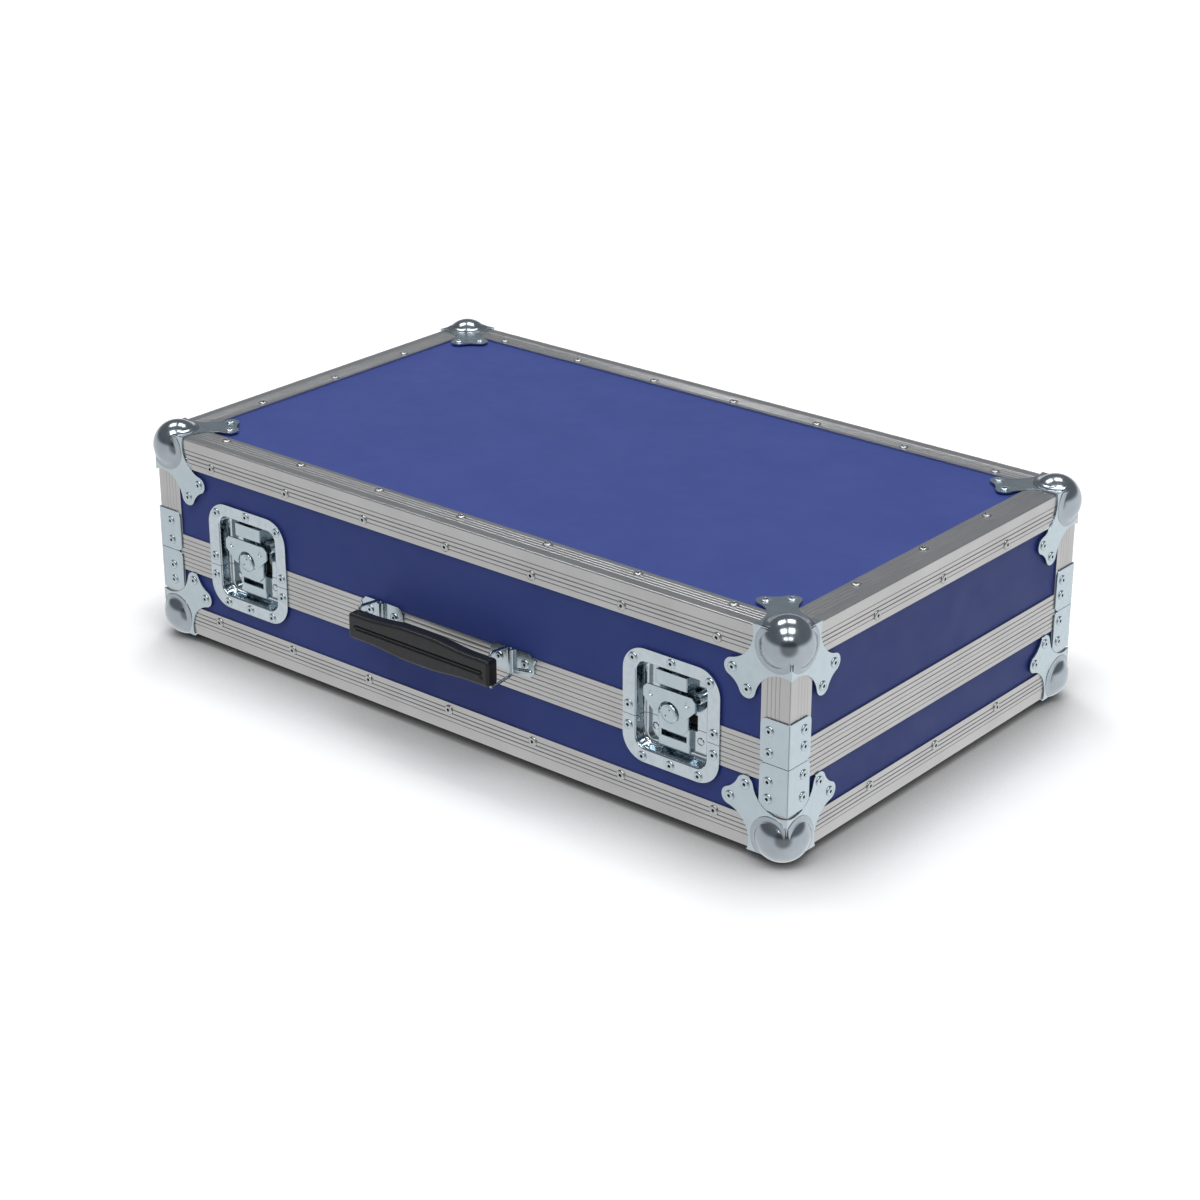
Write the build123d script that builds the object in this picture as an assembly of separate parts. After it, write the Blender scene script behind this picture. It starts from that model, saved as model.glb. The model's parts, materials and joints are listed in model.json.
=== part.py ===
"""Flight case with a rear-hinged lid, ball corners, two recessed turn latches and a folding handle.

Everything is in millimetres. +X runs to the right along the front, the front faces -Y and +Z is up.
The origin is under the middle of the whole case, on the surface that the bottom ball corners stand on.
"""

import math
import os

from build123d import *

# Case box, measured over the aluminium extrusions
LENGTH = 770.0
DEPTH = 451.0
BASE_HEIGHT = 86.0
LID_HEIGHT = 121.5
LID_GAP = 0.3

# Panels and extrusions
PANEL = 7.0
SLOT_PLAY = 0.1
EDGE_WIDTH = 30.0
EDGE_WALL = 1.8
EDGE_ROUND = 1.5
INNER_WALL = 1.2
INNER_LEG = 22.0
GROOVE_FIRST = 11.2
GROOVE_PITCH = 4.2
GROOVE_COUNT = 4
GROOVE_WIDTH = 1.2
GROOVE_DEPTH = 0.6
CORNER_CROP = 12.0
PLATE_CROP = 8.0

# Rims where lid and base meet
BASE_RIM_HEIGHT = 18.5
LID_RIM_HEIGHT = 19.0
RIM_HEAD = 5.0
RIM_INNER_LEG = 15.0
RIM_GROOVE_PITCH = 4.6
RIM_GROOVE_COUNT = 3
TONGUE_FROM = 3.4
TONGUE_WIDTH = 2.4
TONGUE_DRAFT = 0.6
TONGUE_HEIGHT = 2.5
TONGUE_PLAY = 0.7

# Ball corners
SHEET = 1.5
BALL_RADIUS = 24.5
BALL_INSET = 15.0
CORNER_FLANGE = 38.5
NECK_RADIUS = 28.0
LOBE_RADIUS = 8.5
LOBE_FAR = 59.3
LOBE_NEAR = 43.5
NOTCH_AT = 55.9
LOBE_EXIT_DEG = 60.0

# Corner braces beside the split
BRACE_LEG = 29.0
LID_BRACE_HEIGHT = 41.5
BASE_BRACE_HEIGHT = 44.0
BRACE_CORNER_RADIUS = 6.0
BRACE_BEND = 2.0
BRACE_PLAY = 0.3
BRACE_RIVET_FROM_EDGE = {-1: 15.2, 1: 19.7}
LID_BRACE_RIVETS = (9.7, 29.9)
BASE_BRACE_RIVETS = (11.0, 32.0)

# Rivets
RIVET_RADIUS = 4.7
RIVET_TAPER_DEG = 40.0
RIVET_HEIGHT = 1.5
RIVET_SIDES = 6
LONG_RIVETS_FROM_END = 76.9
SHORT_RIVETS_FROM_END = 122.8
EDGE_RIVET_INSET = 22.6
LONG_EDGE_RIVETS = 7
SHORT_EDGE_RIVETS = 3

# Turn latches
LATCH_FROM_END = 124.0
LATCH_RISE = 12.6
PLATE_WIDTH = 105.6
PLATE_HEIGHT = 108.4
PLATE_CORNER = 24.0
DISH_WIDTH = 77.0
DISH_UP = 41.2
DISH_DOWN = 40.6
DISH_CORNER = 8.0
DISH_DEPTH = 13.0
DISH_WALL = 1.2
CUT_PLAY = 0.5
CUT_PAST = 1.0
LATCH_RIVETS = (
    (-41.5, 43.0),
    (0.0, 48.4),
    (41.5, 43.0),
    (-46.3, -3.3),
    (46.3, -3.3),
    (-46.3, -23.0),
    (46.3, -23.0),
    (-30.7, -48.5),
    (0.0, -48.4),
    (30.7, -48.5),
)
MECHANISM_OFFSET = -2.5
HUB_RISE = 0.5
HUB_RADIUS = 9.2
HUB_PROUD = 0.3
SHAFT_RADIUS = 4.0
SHAFT_PLAY = 0.05
SHAFT_HEAD_RADIUS = 6.0
SHAFT_HEAD = 1.4
WING_DEPTH = 0.8
WING_HALF = 28.0
WING_TOP = 21.7
WING_CHAMFER = 4.0
WING_SHOULDER = 9.3
WING_WAIST = 17.5
WING_FOOT = -3.2
WING_HOLE_RADIUS = 11.3
PIVOT_RADIUS = 0.9
PIVOT_PLAY = 0.06
LUG_RADIUS = 1.7
LUG_WIDTH = 2.7
LUG_SET = 0.4
PIVOT_REACH = 7.5
CLAW_DEPTH = 6.5
CLAW_HALF = 16.8
CLAW_BOTTOM = -19.2
CLAW_TOP = 14.0
CLAW_TRAVEL = 6.0
CLAW_CHAMFER = 6.4
CLAW_TAIL_HALF = 8.0
CLAW_TAIL_TOP = 30.0
CLAW_SLOT_PLAY = 0.35
CLAW_FLANGE_DEPTH = 3.5
CLAW_FLANGE_FROM = -5.5
KEEPER_PLAY = 0.3
KEEPER_HALF = 17.2
KEEPER_BOTTOM = -35.5
KEEPER_SLOT_HALF = 13.8
KEEPER_SLOT_TOP = -20.3
KEEPER_SLOT_HEIGHT = 6.0
BRIDGE_DEPTH = 3.5
BRIDGE_HALF = 17.3
BRIDGE_LOW = 24.2
BRIDGE_HIGH = 37.2
EYE_X = 25.0
EYE_RISE = 20.5
EYE_DEPTH = 5.5
EYE_RADIUS = 5.0
EYE_HOLE_RADIUS = 2.4
WINDOW_X = 17.5
WINDOW_WIDTH = 11.5
WINDOW_TOP = 0.5

# Carrying handle
HANDLE_RISE = 11.4
BRACKET_SPREAD = 80.5
BRACKET_WIDTH = 52.0
BRACKET_HEIGHT = 23.0
BRACKET_CHAMFER = 5.0
BRACKET_RIVET_SPREAD = 15.4
CHANNEL_RADIUS = 3.6
LOOP_WIRE = 1.4
LOOP_WIRE_FLATS = 12
LOOP_BORE_PLAY = 0.08
LOOP_BACK = 3.0
LOOP_FRONT = 31.0
LOOP_BACK_HALF = 14.5
LOOP_FRONT_HALF = 17.2
LOOP_BEND = 3.0
GRIP_PAST_LOOP = 5.8
GRIP_FRONT = 40.8
GRIP_THICK = 14.0
GRIP_END_HALF = 12.6
GRIP_MIDDLE_HALF = 16.2
GRIP_FLAT_HALF = 12.0
GRIP_END_LENGTH = 22.3
GRIP_ROUND = 3.0
GRIP_GROOVE_FROM_END = 7.3
GRIP_GROOVE_HEIGHT = 4.0
GRIP_GROOVE_DEPTH = 1.2

# Rear hinges
HINGE_FROM_END = 145.0
HINGE_LENGTH = 66.0
HINGE_LEAF = 26.0
HINGE_SHEET = 2.0
KNUCKLE_RADIUS = 4.5
KNUCKLE_OUT = 5.0
KNUCKLE_PLAY = 0.4
PIN_RADIUS = 2.4
PIN_PLAY = 0.05
PIN_HEAD = 1.2
PIN_HEAD_RADIUS = 3.8
HINGE_RIVET_PITCH = 22.0
HINGE_RIVET_DROP = 16.0

# Foam lining
FLOOR_FOAM = 20.0
TOP_FOAM = 15.0
WALL_FOAM = 12.0
FOAM_PLAY = 0.1
FOAM_BELOW_RIM = 1.0

# Places worked out from the sizes above
BALL_PROUD = BALL_RADIUS - BALL_INSET
REAR_REACH = max(BALL_PROUD, KNUCKLE_OUT + KNUCKLE_RADIUS)
FRONT = (GRIP_FRONT - DEPTH - REAR_REACH) / 2
BACK = FRONT + DEPTH
HALF = LENGTH / 2
LATCH_SPREAD = HALF - LATCH_FROM_END
HINGE_SPREAD = HALF - HINGE_FROM_END
GRIP_HALF = BRACKET_SPREAD + GRIP_PAST_LOOP
GRIP_NECK_HALF = GRIP_HALF - GRIP_END_LENGTH
GRIP_GROOVE_HALF = GRIP_HALF - GRIP_GROOVE_FROM_END
BOTTOM = BALL_PROUD
SPLIT = BOTTOM + BASE_HEIGHT
LID_BOTTOM = SPLIT + LID_GAP
TOP = SPLIT + LID_HEIGHT
SLOT = PANEL + 2 * SLOT_PLAY
SECTION = EDGE_WALL + SLOT + INNER_WALL
PANEL_OUT = EDGE_WALL + SLOT_PLAY
PANEL_END = SECTION + SLOT_PLAY
FOAM_OUT = SECTION + FOAM_PLAY
FOAM_IN = FOAM_OUT + WALL_FOAM
LATCH_Z = SPLIT + LATCH_RISE
HUB_Z = LATCH_Z + HUB_RISE
DISH_BACK = DISH_DEPTH - SHEET + DISH_WALL
HANDLE_Z = SPLIT + HANDLE_RISE
AXIS_Y = BACK + KNUCKLE_OUT
SIDES = {"left": -1, "right": 1}


def block(x0, x1, y0, y1, z0, z1):
    """A box between two corners."""
    return Pos((x0 + x1) / 2, (y0 + y1) / 2, (z0 + z1) / 2) * Box(x1 - x0, y1 - y0, z1 - z0)


def latch_y(depth):
    """The y of a place that lies a depth behind the front of a latch plate."""
    return FRONT - SHEET + depth


def grooved_line(points, count, first, pitch, along):
    """Add the V grooves of an extrusion face to an outline, as (distance, depth) turned by along."""
    for i in range(count):
        middle = first + i * pitch
        points.append(along(middle - GROOVE_WIDTH / 2, 0.0))
        points.append(along(middle, GROOVE_DEPTH))
        points.append(along(middle + GROOVE_WIDTH / 2, 0.0))


def profile(points, plane):
    """A face from outline points in a plane."""
    return plane * make_face(Polyline(*points, close=True))


def edge_section():
    """Outline of the double-angle extrusion: a grooved outer angle, a box corner and an inner angle."""
    far = []
    grooved_line(far, GROOVE_COUNT, GROOVE_FIRST, GROOVE_PITCH, lambda d, t: (d, t))
    box_wall = SECTION - INNER_WALL
    half = [
        *far,
        (EDGE_WIDTH, 0.0),
        (EDGE_WIDTH, EDGE_WALL),
        (SECTION, EDGE_WALL),
        (SECTION, box_wall),
        (INNER_LEG, box_wall),
        (INNER_LEG, SECTION),
    ]
    mirrored = [(v, u) for u, v in reversed(half)]
    return [(0.0, 0.0), *half, (SECTION, SECTION), *mirrored]


def edge_bar(origin, u_dir, v_dir, length):
    """A length of double-angle extrusion, centred on origin, with its legs along u_dir and v_dir."""
    run = Vector(*u_dir).cross(Vector(*v_dir))
    plane = Plane(origin=origin, x_dir=u_dir, z_dir=run)
    core = SECTION - INNER_WALL - EDGE_WALL
    middle = EDGE_WALL + core / 2
    outline = profile(edge_section(), plane)
    outline = fillet(outline.vertices().sort_by_distance(origin)[0], EDGE_ROUND)
    section = outline - plane * Pos(middle, middle) * Rectangle(core, core)
    return extrude(section, amount=length / 2, both=True)


def sector(side):
    """Plan wedge of one side of the case, mitred at 45 degrees at both ends."""
    reach = EDGE_WIDTH + CUT_PAST
    if side in ("front", "back"):
        edge_y, step = (FRONT, reach) if side == "front" else (BACK, -reach)
        inner_y = edge_y + step
        outline = [(-HALF, edge_y), (HALF, edge_y), (HALF - reach, inner_y), (reach - HALF, inner_y)]
    else:
        edge_x, step = (-HALF, reach) if side == "left" else (HALF, -reach)
        inner_x = edge_x + step
        outline = [(edge_x, FRONT), (edge_x, BACK), (inner_x, BACK - reach), (inner_x, FRONT + reach)]
    base = profile(outline, Plane.XY.offset(BOTTOM - CUT_PAST))
    return extrude(base, amount=TOP - BOTTOM + 2 * CUT_PAST)


SECTORS = {side: sector(side) for side in ("front", "back", "left", "right")}


def corner_crops(z, up):
    """The four small cubes that are cut from the extrusions' ends inside the ball corners."""
    cubes = []
    for sx in (-1, 1):
        for y, sy in ((FRONT, 1), (BACK, -1)):
            cube = Box(CORNER_CROP, CORNER_CROP, CORNER_CROP)
            half = CORNER_CROP / 2
            cubes.append(Pos(sx * (HALF - half), y + sy * half, z + up * half) * cube)
    return cubes


def case_edges(z, up):
    """The four horizontal edge extrusions at the bottom (up = 1) or the top (up = -1) of the case."""
    crops = corner_crops(z, up)
    middle = (FRONT + BACK) / 2
    places = {
        "front": ((0, FRONT, z), (0, 1, 0), LENGTH),
        "back": ((0, BACK, z), (0, -1, 0), LENGTH),
        "left": ((-HALF, middle, z), (1, 0, 0), DEPTH),
        "right": ((HALF, middle, z), (-1, 0, 0), DEPTH),
    }
    edges = {}
    for side, (origin, inward, length) in places.items():
        edges[side] = (edge_bar(origin, inward, (0, 0, up), length) & SECTORS[side]) - crops
    return edges


def uprights(low, high):
    """The four vertical corner extrusions of one half of the case."""
    bars = []
    for sx in (-1, 1):
        for y, sy in ((FRONT, 1), (BACK, -1)):
            origin = (sx * HALF, y, (low + high) / 2)
            bars.append(edge_bar(origin, (-sx, 0, 0), (0, sy, 0), high - low))
    return Compound(bars)


def base_rim_section():
    """Base rim as (inward, down from the split), with its tongue standing up into the lid."""
    face = []
    grooved_line(face, RIM_GROOVE_COUNT, RIM_GROOVE_PITCH, RIM_GROOVE_PITCH, lambda d, t: (t, d))
    inner = SECTION - INNER_WALL
    return [
        (0.0, 0.0),
        *face,
        (0.0, BASE_RIM_HEIGHT),
        (EDGE_WALL, BASE_RIM_HEIGHT),
        (EDGE_WALL, RIM_HEAD),
        (inner, RIM_HEAD),
        (inner, RIM_INNER_LEG),
        (SECTION, RIM_INNER_LEG),
        (SECTION, 0.0),
        (TONGUE_FROM + TONGUE_WIDTH, 0.0),
        (TONGUE_FROM + TONGUE_WIDTH - TONGUE_DRAFT, -TONGUE_HEIGHT),
        (TONGUE_FROM + TONGUE_DRAFT, -TONGUE_HEIGHT),
        (TONGUE_FROM, 0.0),
    ]


def lid_rim_section():
    """Lid rim as (inward, up from its underside), with the groove that drops over the tongue."""
    face = []
    grooved_line(face, RIM_GROOVE_COUNT, RIM_GROOVE_PITCH, RIM_GROOVE_PITCH, lambda d, t: (t, d))
    inner = SECTION - INNER_WALL
    return [
        (0.0, 0.0),
        *face,
        (0.0, LID_RIM_HEIGHT),
        (EDGE_WALL, LID_RIM_HEIGHT),
        (EDGE_WALL, RIM_HEAD),
        (inner, RIM_HEAD),
        (inner, RIM_INNER_LEG),
        (SECTION, RIM_INNER_LEG),
        (SECTION, 0.0),
        (TONGUE_FROM + TONGUE_WIDTH + TONGUE_PLAY, 0.0),
        (TONGUE_FROM + TONGUE_WIDTH + TONGUE_PLAY - TONGUE_DRAFT, TONGUE_HEIGHT + TONGUE_PLAY),
        (TONGUE_FROM - TONGUE_PLAY + TONGUE_DRAFT, TONGUE_HEIGHT + TONGUE_PLAY),
        (TONGUE_FROM - TONGUE_PLAY, 0.0),
    ]


def rims(section, z, up):
    """The four rim extrusions of one half, mitred at the corners; the front one is cut for the latches."""
    middle = (FRONT + BACK) / 2
    places = {
        "front": ((0, FRONT, z), (0, 1, 0), LENGTH),
        "back": ((0, BACK, z), (0, -1, 0), LENGTH),
        "left": ((-HALF, middle, z), (1, 0, 0), DEPTH),
        "right": ((HALF, middle, z), (-1, 0, 0), DEPTH),
    }
    bars = {}
    for side, (origin, inward, length) in places.items():
        run = Vector(*inward).cross(Vector(0, 0, up))
        plane = Plane(origin=origin, x_dir=inward, z_dir=run)
        bars[side] = extrude(profile(section, plane), amount=length / 2, both=True) & SECTORS[side]
    for x in latch_centres():
        bars["front"] = bars["front"] - dish_cut(x)
    return bars


def latch_centres():
    """The x of both latches."""
    return [sign * LATCH_SPREAD for sign in SIDES.values()]


def dish_outline(grow):
    """Outline of the latch dish in the front plane, about the latch's centre."""
    width = DISH_WIDTH + 2 * grow
    height = DISH_UP + DISH_DOWN + 2 * grow
    return Pos(0, (DISH_UP - DISH_DOWN) / 2) * RectangleRounded(width, height, DISH_CORNER + grow)


def front_plane(x, depth):
    """A plane at a depth behind the front of a latch plate, looking out of the case's front."""
    return Plane(origin=(x, latch_y(depth), LATCH_Z), x_dir=(1, 0, 0), z_dir=(0, -1, 0))


def inwards(face_2d, x, depth, thick):
    """Extrude a flat shape of the front plane from one depth further in."""
    return extrude(front_plane(x, depth) * face_2d, amount=-thick)


def dish_cut(x):
    """The room that a latch dish needs in the rims and front panels."""
    return inwards(dish_outline(DISH_WALL + CUT_PLAY), x, 0.0, DISH_DEPTH + DISH_WALL + SECTION)


def panels():
    """The ten laminated plywood panels."""
    wide = HALF - PANEL_END
    front, back = FRONT + PANEL_END, BACK - PANEL_END
    base_low, base_high = BOTTOM + PANEL_END, SPLIT - RIM_HEAD - SLOT_PLAY
    lid_low, lid_high = LID_BOTTOM + RIM_HEAD + SLOT_PLAY, TOP - PANEL_END
    made = {}
    outer = PANEL_OUT
    inner = PANEL_OUT + PANEL
    made["base_floor_panel"] = block(-wide, wide, front, back, BOTTOM + outer, BOTTOM + inner)
    made["lid_top_panel"] = block(-wide, wide, front, back, TOP - inner, TOP - outer)
    for half, low, high in (("base", base_low, base_high), ("lid", lid_low, lid_high)):
        made[f"{half}_front_panel"] = block(-wide, wide, FRONT + outer, FRONT + inner, low, high)
        made[f"{half}_back_panel"] = block(-wide, wide, BACK - inner, BACK - outer, low, high)
        made[f"{half}_left_panel"] = block(-HALF + outer, -HALF + inner, front, back, low, high)
        made[f"{half}_right_panel"] = block(HALF - inner, HALF - outer, front, back, low, high)
        for x in latch_centres():
            made[f"{half}_front_panel"] = made[f"{half}_front_panel"] - dish_cut(x)
    return made


def corner_flange_face():
    """Flat outline of one face of a ball corner, as distances from the case's corner along its edges."""
    lobe = Vector(LOBE_FAR, LOBE_NEAR)
    neck_x = CORNER_FLANGE + NECK_RADIUS
    drop = math.sqrt((NECK_RADIUS + LOBE_RADIUS) ** 2 - (LOBE_FAR - neck_x) ** 2)
    neck = Vector(neck_x, LOBE_NEAR - drop)

    def on_neck(height):
        """The point of the neck's arc at a height."""
        return Vector(neck.X - math.sqrt(NECK_RADIUS**2 - (height - neck.Y) ** 2), height)

    def on_lobe(degrees):
        """The point of the lobe at an angle."""
        turn = math.radians(degrees)
        return lobe + Vector(LOBE_RADIUS * math.cos(turn), LOBE_RADIUS * math.sin(turn))

    start = on_neck(-SHEET)
    join = lobe + (neck - lobe).normalized() * LOBE_RADIUS
    leave = on_lobe(LOBE_EXIT_DEG)
    swap = [Vector(p.Y, p.X) for p in (start, on_neck(neck.Y), join, on_lobe(0.0), leave)]
    outline = [
        Line((-SHEET, -SHEET), start),
        ThreePointArc(start, on_neck(neck.Y), join),
        ThreePointArc(join, on_lobe(0.0), leave),
        ThreePointArc(leave, Vector(NOTCH_AT, NOTCH_AT), swap[4]),
        ThreePointArc(swap[4], swap[3], swap[2]),
        ThreePointArc(swap[2], swap[1], swap[0]),
        Line(swap[0], (-SHEET, -SHEET)),
    ]
    return make_face(outline)


def ball_corner():
    """A ball corner for a case corner at the origin, with the case towards +X, +Y and +Z.

    The ball is closed on every side by the case, so it stays solid behind its face.
    """
    flange = corner_flange_face()
    far = LOBE_FAR + 2 * LOBE_RADIUS
    plates = [
        extrude(Plane.XY * flange, amount=-SHEET),
        extrude(Plane.YZ * flange, amount=-SHEET),
        extrude(Plane.ZX * flange, amount=-SHEET),
    ]
    plates = [plate - block(-far, PLATE_CROP, -far, PLATE_CROP, -far, PLATE_CROP) for plate in plates]
    ball = Pos(BALL_INSET, BALL_INSET, BALL_INSET) * Sphere(BALL_RADIUS)
    return (ball - block(0, far, 0, far, 0, far)) + plates


def at_case_corner(shape, sx, sy, sz):
    """Put a shape made for a corner at the origin on one corner of the case, by mirroring."""
    placed = shape
    if sx > 0:
        placed = mirror(placed, about=Plane.YZ)
    if sy > 0:
        placed = mirror(placed, about=Plane.XZ)
    if sz > 0:
        placed = mirror(placed, about=Plane.XY)
    corner = (sx * HALF, BACK if sy > 0 else FRONT, TOP if sz > 0 else BOTTOM)
    return Pos(*corner) * placed


def corner_set(shape, sz):
    """Four copies of a corner piece, on the bottom (sz = -1) or top (sz = 1) corners."""
    return [at_case_corner(shape, sx, sy, sz) for sx in (-1, 1) for sy in (-1, 1)]


def brace(low, high, round_low, round_high):
    """A bent angle brace over the vertical edge at the origin, its free corners rounded."""
    leg = BRACE_LEG
    shell = block(-SHEET, leg, -SHEET, leg, low, high) - block(0, leg, 0, leg, low, high)
    corners = shell.edges().filter_by(lambda e: abs(e.length - SHEET) < 0.01)
    ends = [e for e in corners if max(e.center().X, e.center().Y) > leg - 0.01]
    wanted = [e for e in ends if (e.center().Z > (low + high) / 2 and round_high) or
              (e.center().Z < (low + high) / 2 and round_low)]
    rounded = fillet(wanted, BRACE_CORNER_RADIUS)
    bend = rounded.edges().filter_by(Axis.Z).sort_by_distance((-SHEET, -SHEET, (low + high) / 2))[0]
    return fillet(bend, BRACE_BEND)


def base_brace():
    """A base brace, cut back where the ball corner's flange lies beside it."""
    room = offset(corner_flange_face(), amount=BRACE_PLAY)
    beside = [
        extrude(Plane.YZ * room, amount=-2 * SHEET),
        extrude(Plane.ZX * room, amount=-2 * SHEET),
    ]
    return brace(BASE_HEIGHT - BASE_BRACE_HEIGHT, BASE_HEIGHT, False, True) - beside


def rivet_head():
    """A low rivet head standing on the XY plane."""
    foot = RegularPolygon(RIVET_RADIUS, RIVET_SIDES)
    return extrude(foot, amount=RIVET_HEIGHT, taper=RIVET_TAPER_DEG)


RIVET = rivet_head()


def rivet(point, outward):
    """A rivet head seated at a point, facing outward."""
    return Plane(origin=point, z_dir=outward) * RIVET


def spaced(count, length, from_end):
    """Evenly spaced rivet places along an edge, from its middle, the outer ones a distance from its ends."""
    reach = length / 2 - from_end
    return [reach * (2 * i / (count - 1) - 1) for i in range(count)]


def edge_rivets(z, up):
    """Rivets through both faces of the horizontal extrusions round the bottom or top."""
    heads = []
    inset = EDGE_RIVET_INSET
    middle = (FRONT + BACK) / 2
    for y, sy in ((FRONT, -1), (BACK, 1)):
        for x in spaced(LONG_EDGE_RIVETS, LENGTH, LONG_RIVETS_FROM_END):
            heads.append(rivet((x, y, z + up * inset), (0, sy, 0)))
            heads.append(rivet((x, y - sy * inset, z), (0, 0, -up)))
    for sx in (-1, 1):
        for step in spaced(SHORT_EDGE_RIVETS, DEPTH, SHORT_RIVETS_FROM_END):
            heads.append(rivet((sx * HALF, middle + step, z + up * inset), (sx, 0, 0)))
            heads.append(rivet((sx * (HALF - inset), middle + step, z), (0, 0, -up)))
    return heads


def ball_corner_rivets(sz):
    """Six rivets on each ball corner of one half."""
    heads = []
    z = TOP if sz > 0 else BOTTOM
    for sx in (-1, 1):
        for y, sy in ((FRONT, -1), (BACK, 1)):
            for a, b in ((LOBE_FAR, LOBE_NEAR), (LOBE_NEAR, LOBE_FAR)):
                x_in, y_in, z_in = sx * (HALF - a), y - sy * b, z - sz * b
                heads.append(rivet((x_in, y_in, z + sz * SHEET), (0, 0, sz)))
                heads.append(rivet((x_in, y + sy * SHEET, z_in), (0, sy, 0)))
                heads.append(rivet((sx * (HALF + SHEET), y - sy * a, z_in), (sx, 0, 0)))
    return heads


def brace_rivets(z, up, rises):
    """Four rivets on each corner brace of one half."""
    heads = []
    for sx in (-1, 1):
        inset = BRACE_RIVET_FROM_EDGE[sx]
        for y, sy in ((FRONT, -1), (BACK, 1)):
            for rise in rises:
                level = z + up * rise
                heads.append(rivet((sx * (HALF - inset), y + sy * SHEET, level), (0, sy, 0)))
                heads.append(rivet((sx * (HALF + SHEET), y - sy * inset, level), (sx, 0, 0)))
    return heads


def latch_rivets(upper):
    """Rivets of both latch plates that lie above or below the split."""
    heads = []
    for x in latch_centres():
        for dx, dz in LATCH_RIVETS:
            if (LATCH_Z + dz > SPLIT) == upper:
                heads.append(rivet((x + dx, FRONT - SHEET, LATCH_Z + dz), (0, -1, 0)))
    return heads


def hinge_centres():
    """The x of the three rear hinges."""
    return [-HINGE_SPREAD, 0.0, HINGE_SPREAD]


def hinge_rivets(up):
    """Three rivets in each hinge leaf of one half."""
    heads = []
    for x in hinge_centres():
        for step in (-HINGE_RIVET_PITCH, 0.0, HINGE_RIVET_PITCH):
            heads.append(rivet((x + step, BACK + HINGE_SHEET, SPLIT + up * HINGE_RIVET_DROP), (0, 1, 0)))
    return heads


def bracket_rivets():
    """Two rivets in each handle bracket."""
    heads = []
    for sign in SIDES.values():
        for step in (-BRACKET_RIVET_SPREAD, BRACKET_RIVET_SPREAD):
            heads.append(rivet((sign * BRACKET_SPREAD + step, FRONT - SHEET, HANDLE_Z), (0, -1, 0)))
    return heads


def latch_dish(x):
    """The whole latch pressing: a riveted plate round a rounded dish, before it is cut at the split."""
    plate = inwards(RectangleRounded(PLATE_WIDTH, PLATE_HEIGHT, PLATE_CORNER), x, 0.0, SHEET)
    pan = inwards(dish_outline(DISH_WALL), x, 0.0, DISH_DEPTH + DISH_WALL)
    room = inwards(dish_outline(0.0), x, 0.0, DISH_DEPTH)
    return (plate + pan) - room


def lid_latch_plate(x):
    """Upper part of a latch pressing, with the shaft hole, a side window and the padlock eye."""
    wide = PLATE_WIDTH
    keep = block(x - wide, x + wide, FRONT - wide, FRONT + wide, LID_BOTTOM, LID_BOTTOM + PLATE_HEIGHT)
    plate = latch_dish(x) & keep
    shaft_at = Pos(MECHANISM_OFFSET, HUB_RISE)
    shaft_hole = inwards(shaft_at * Circle(SHAFT_RADIUS + SHAFT_PLAY), x, 0.0, DISH_DEPTH + SECTION)
    window = block(
        x + WINDOW_X - WINDOW_WIDTH / 2,
        x + WINDOW_X + WINDOW_WIDTH / 2,
        latch_y(DISH_DEPTH) - CUT_PAST,
        latch_y(DISH_DEPTH) + DISH_WALL + CUT_PAST,
        LID_BOTTOM - CUT_PAST,
        LATCH_Z + WINDOW_TOP,
    )
    eye = inwards(Pos(EYE_X, EYE_RISE) * Circle(EYE_RADIUS), x, EYE_DEPTH, DISH_DEPTH - EYE_DEPTH)
    hole = inwards(Pos(EYE_X, EYE_RISE) * Circle(EYE_HOLE_RADIUS), x, EYE_DEPTH, DISH_DEPTH - EYE_DEPTH)
    return (plate - shaft_hole - window) + (eye - hole)


def base_latch_plate(x):
    """Lower part of a latch pressing."""
    wide = PLATE_WIDTH
    keep = block(x - wide, x + wide, FRONT - wide, FRONT + wide, SPLIT - PLATE_HEIGHT, SPLIT)
    return latch_dish(x) & keep


def pressed_bridge(x, half, low, high, depth):
    """A flat plate in the dish whose two sides are bent back down to the dish floor."""
    centre = x + MECHANISM_OFFSET
    front, back = latch_y(depth), latch_y(DISH_DEPTH)
    solid = block(centre - half, centre + half, front, back, low, high)
    inside = block(centre - half + SHEET, centre + half - SHEET, front + SHEET, back, low, high)
    return solid - inside


def latch_bridge(x):
    """Bridge at the top of the dish that guides the claw's tail."""
    return pressed_bridge(x, BRIDGE_HALF, LATCH_Z + BRIDGE_LOW, LATCH_Z + BRIDGE_HIGH, BRIDGE_DEPTH)


def keeper(x):
    """Slotted keeper on the base, just behind the claw."""
    depth = CLAW_DEPTH + SHEET + KEEPER_PLAY
    body = pressed_bridge(x, KEEPER_HALF, LATCH_Z + KEEPER_BOTTOM, SPLIT - LID_GAP, depth)
    centre = x + MECHANISM_OFFSET
    top = LATCH_Z + KEEPER_SLOT_TOP
    slot = block(
        centre - KEEPER_SLOT_HALF,
        centre + KEEPER_SLOT_HALF,
        latch_y(depth) - CUT_PAST,
        latch_y(depth) + SHEET + CUT_PAST,
        top - KEEPER_SLOT_HEIGHT,
        top,
    )
    return body - slot


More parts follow.
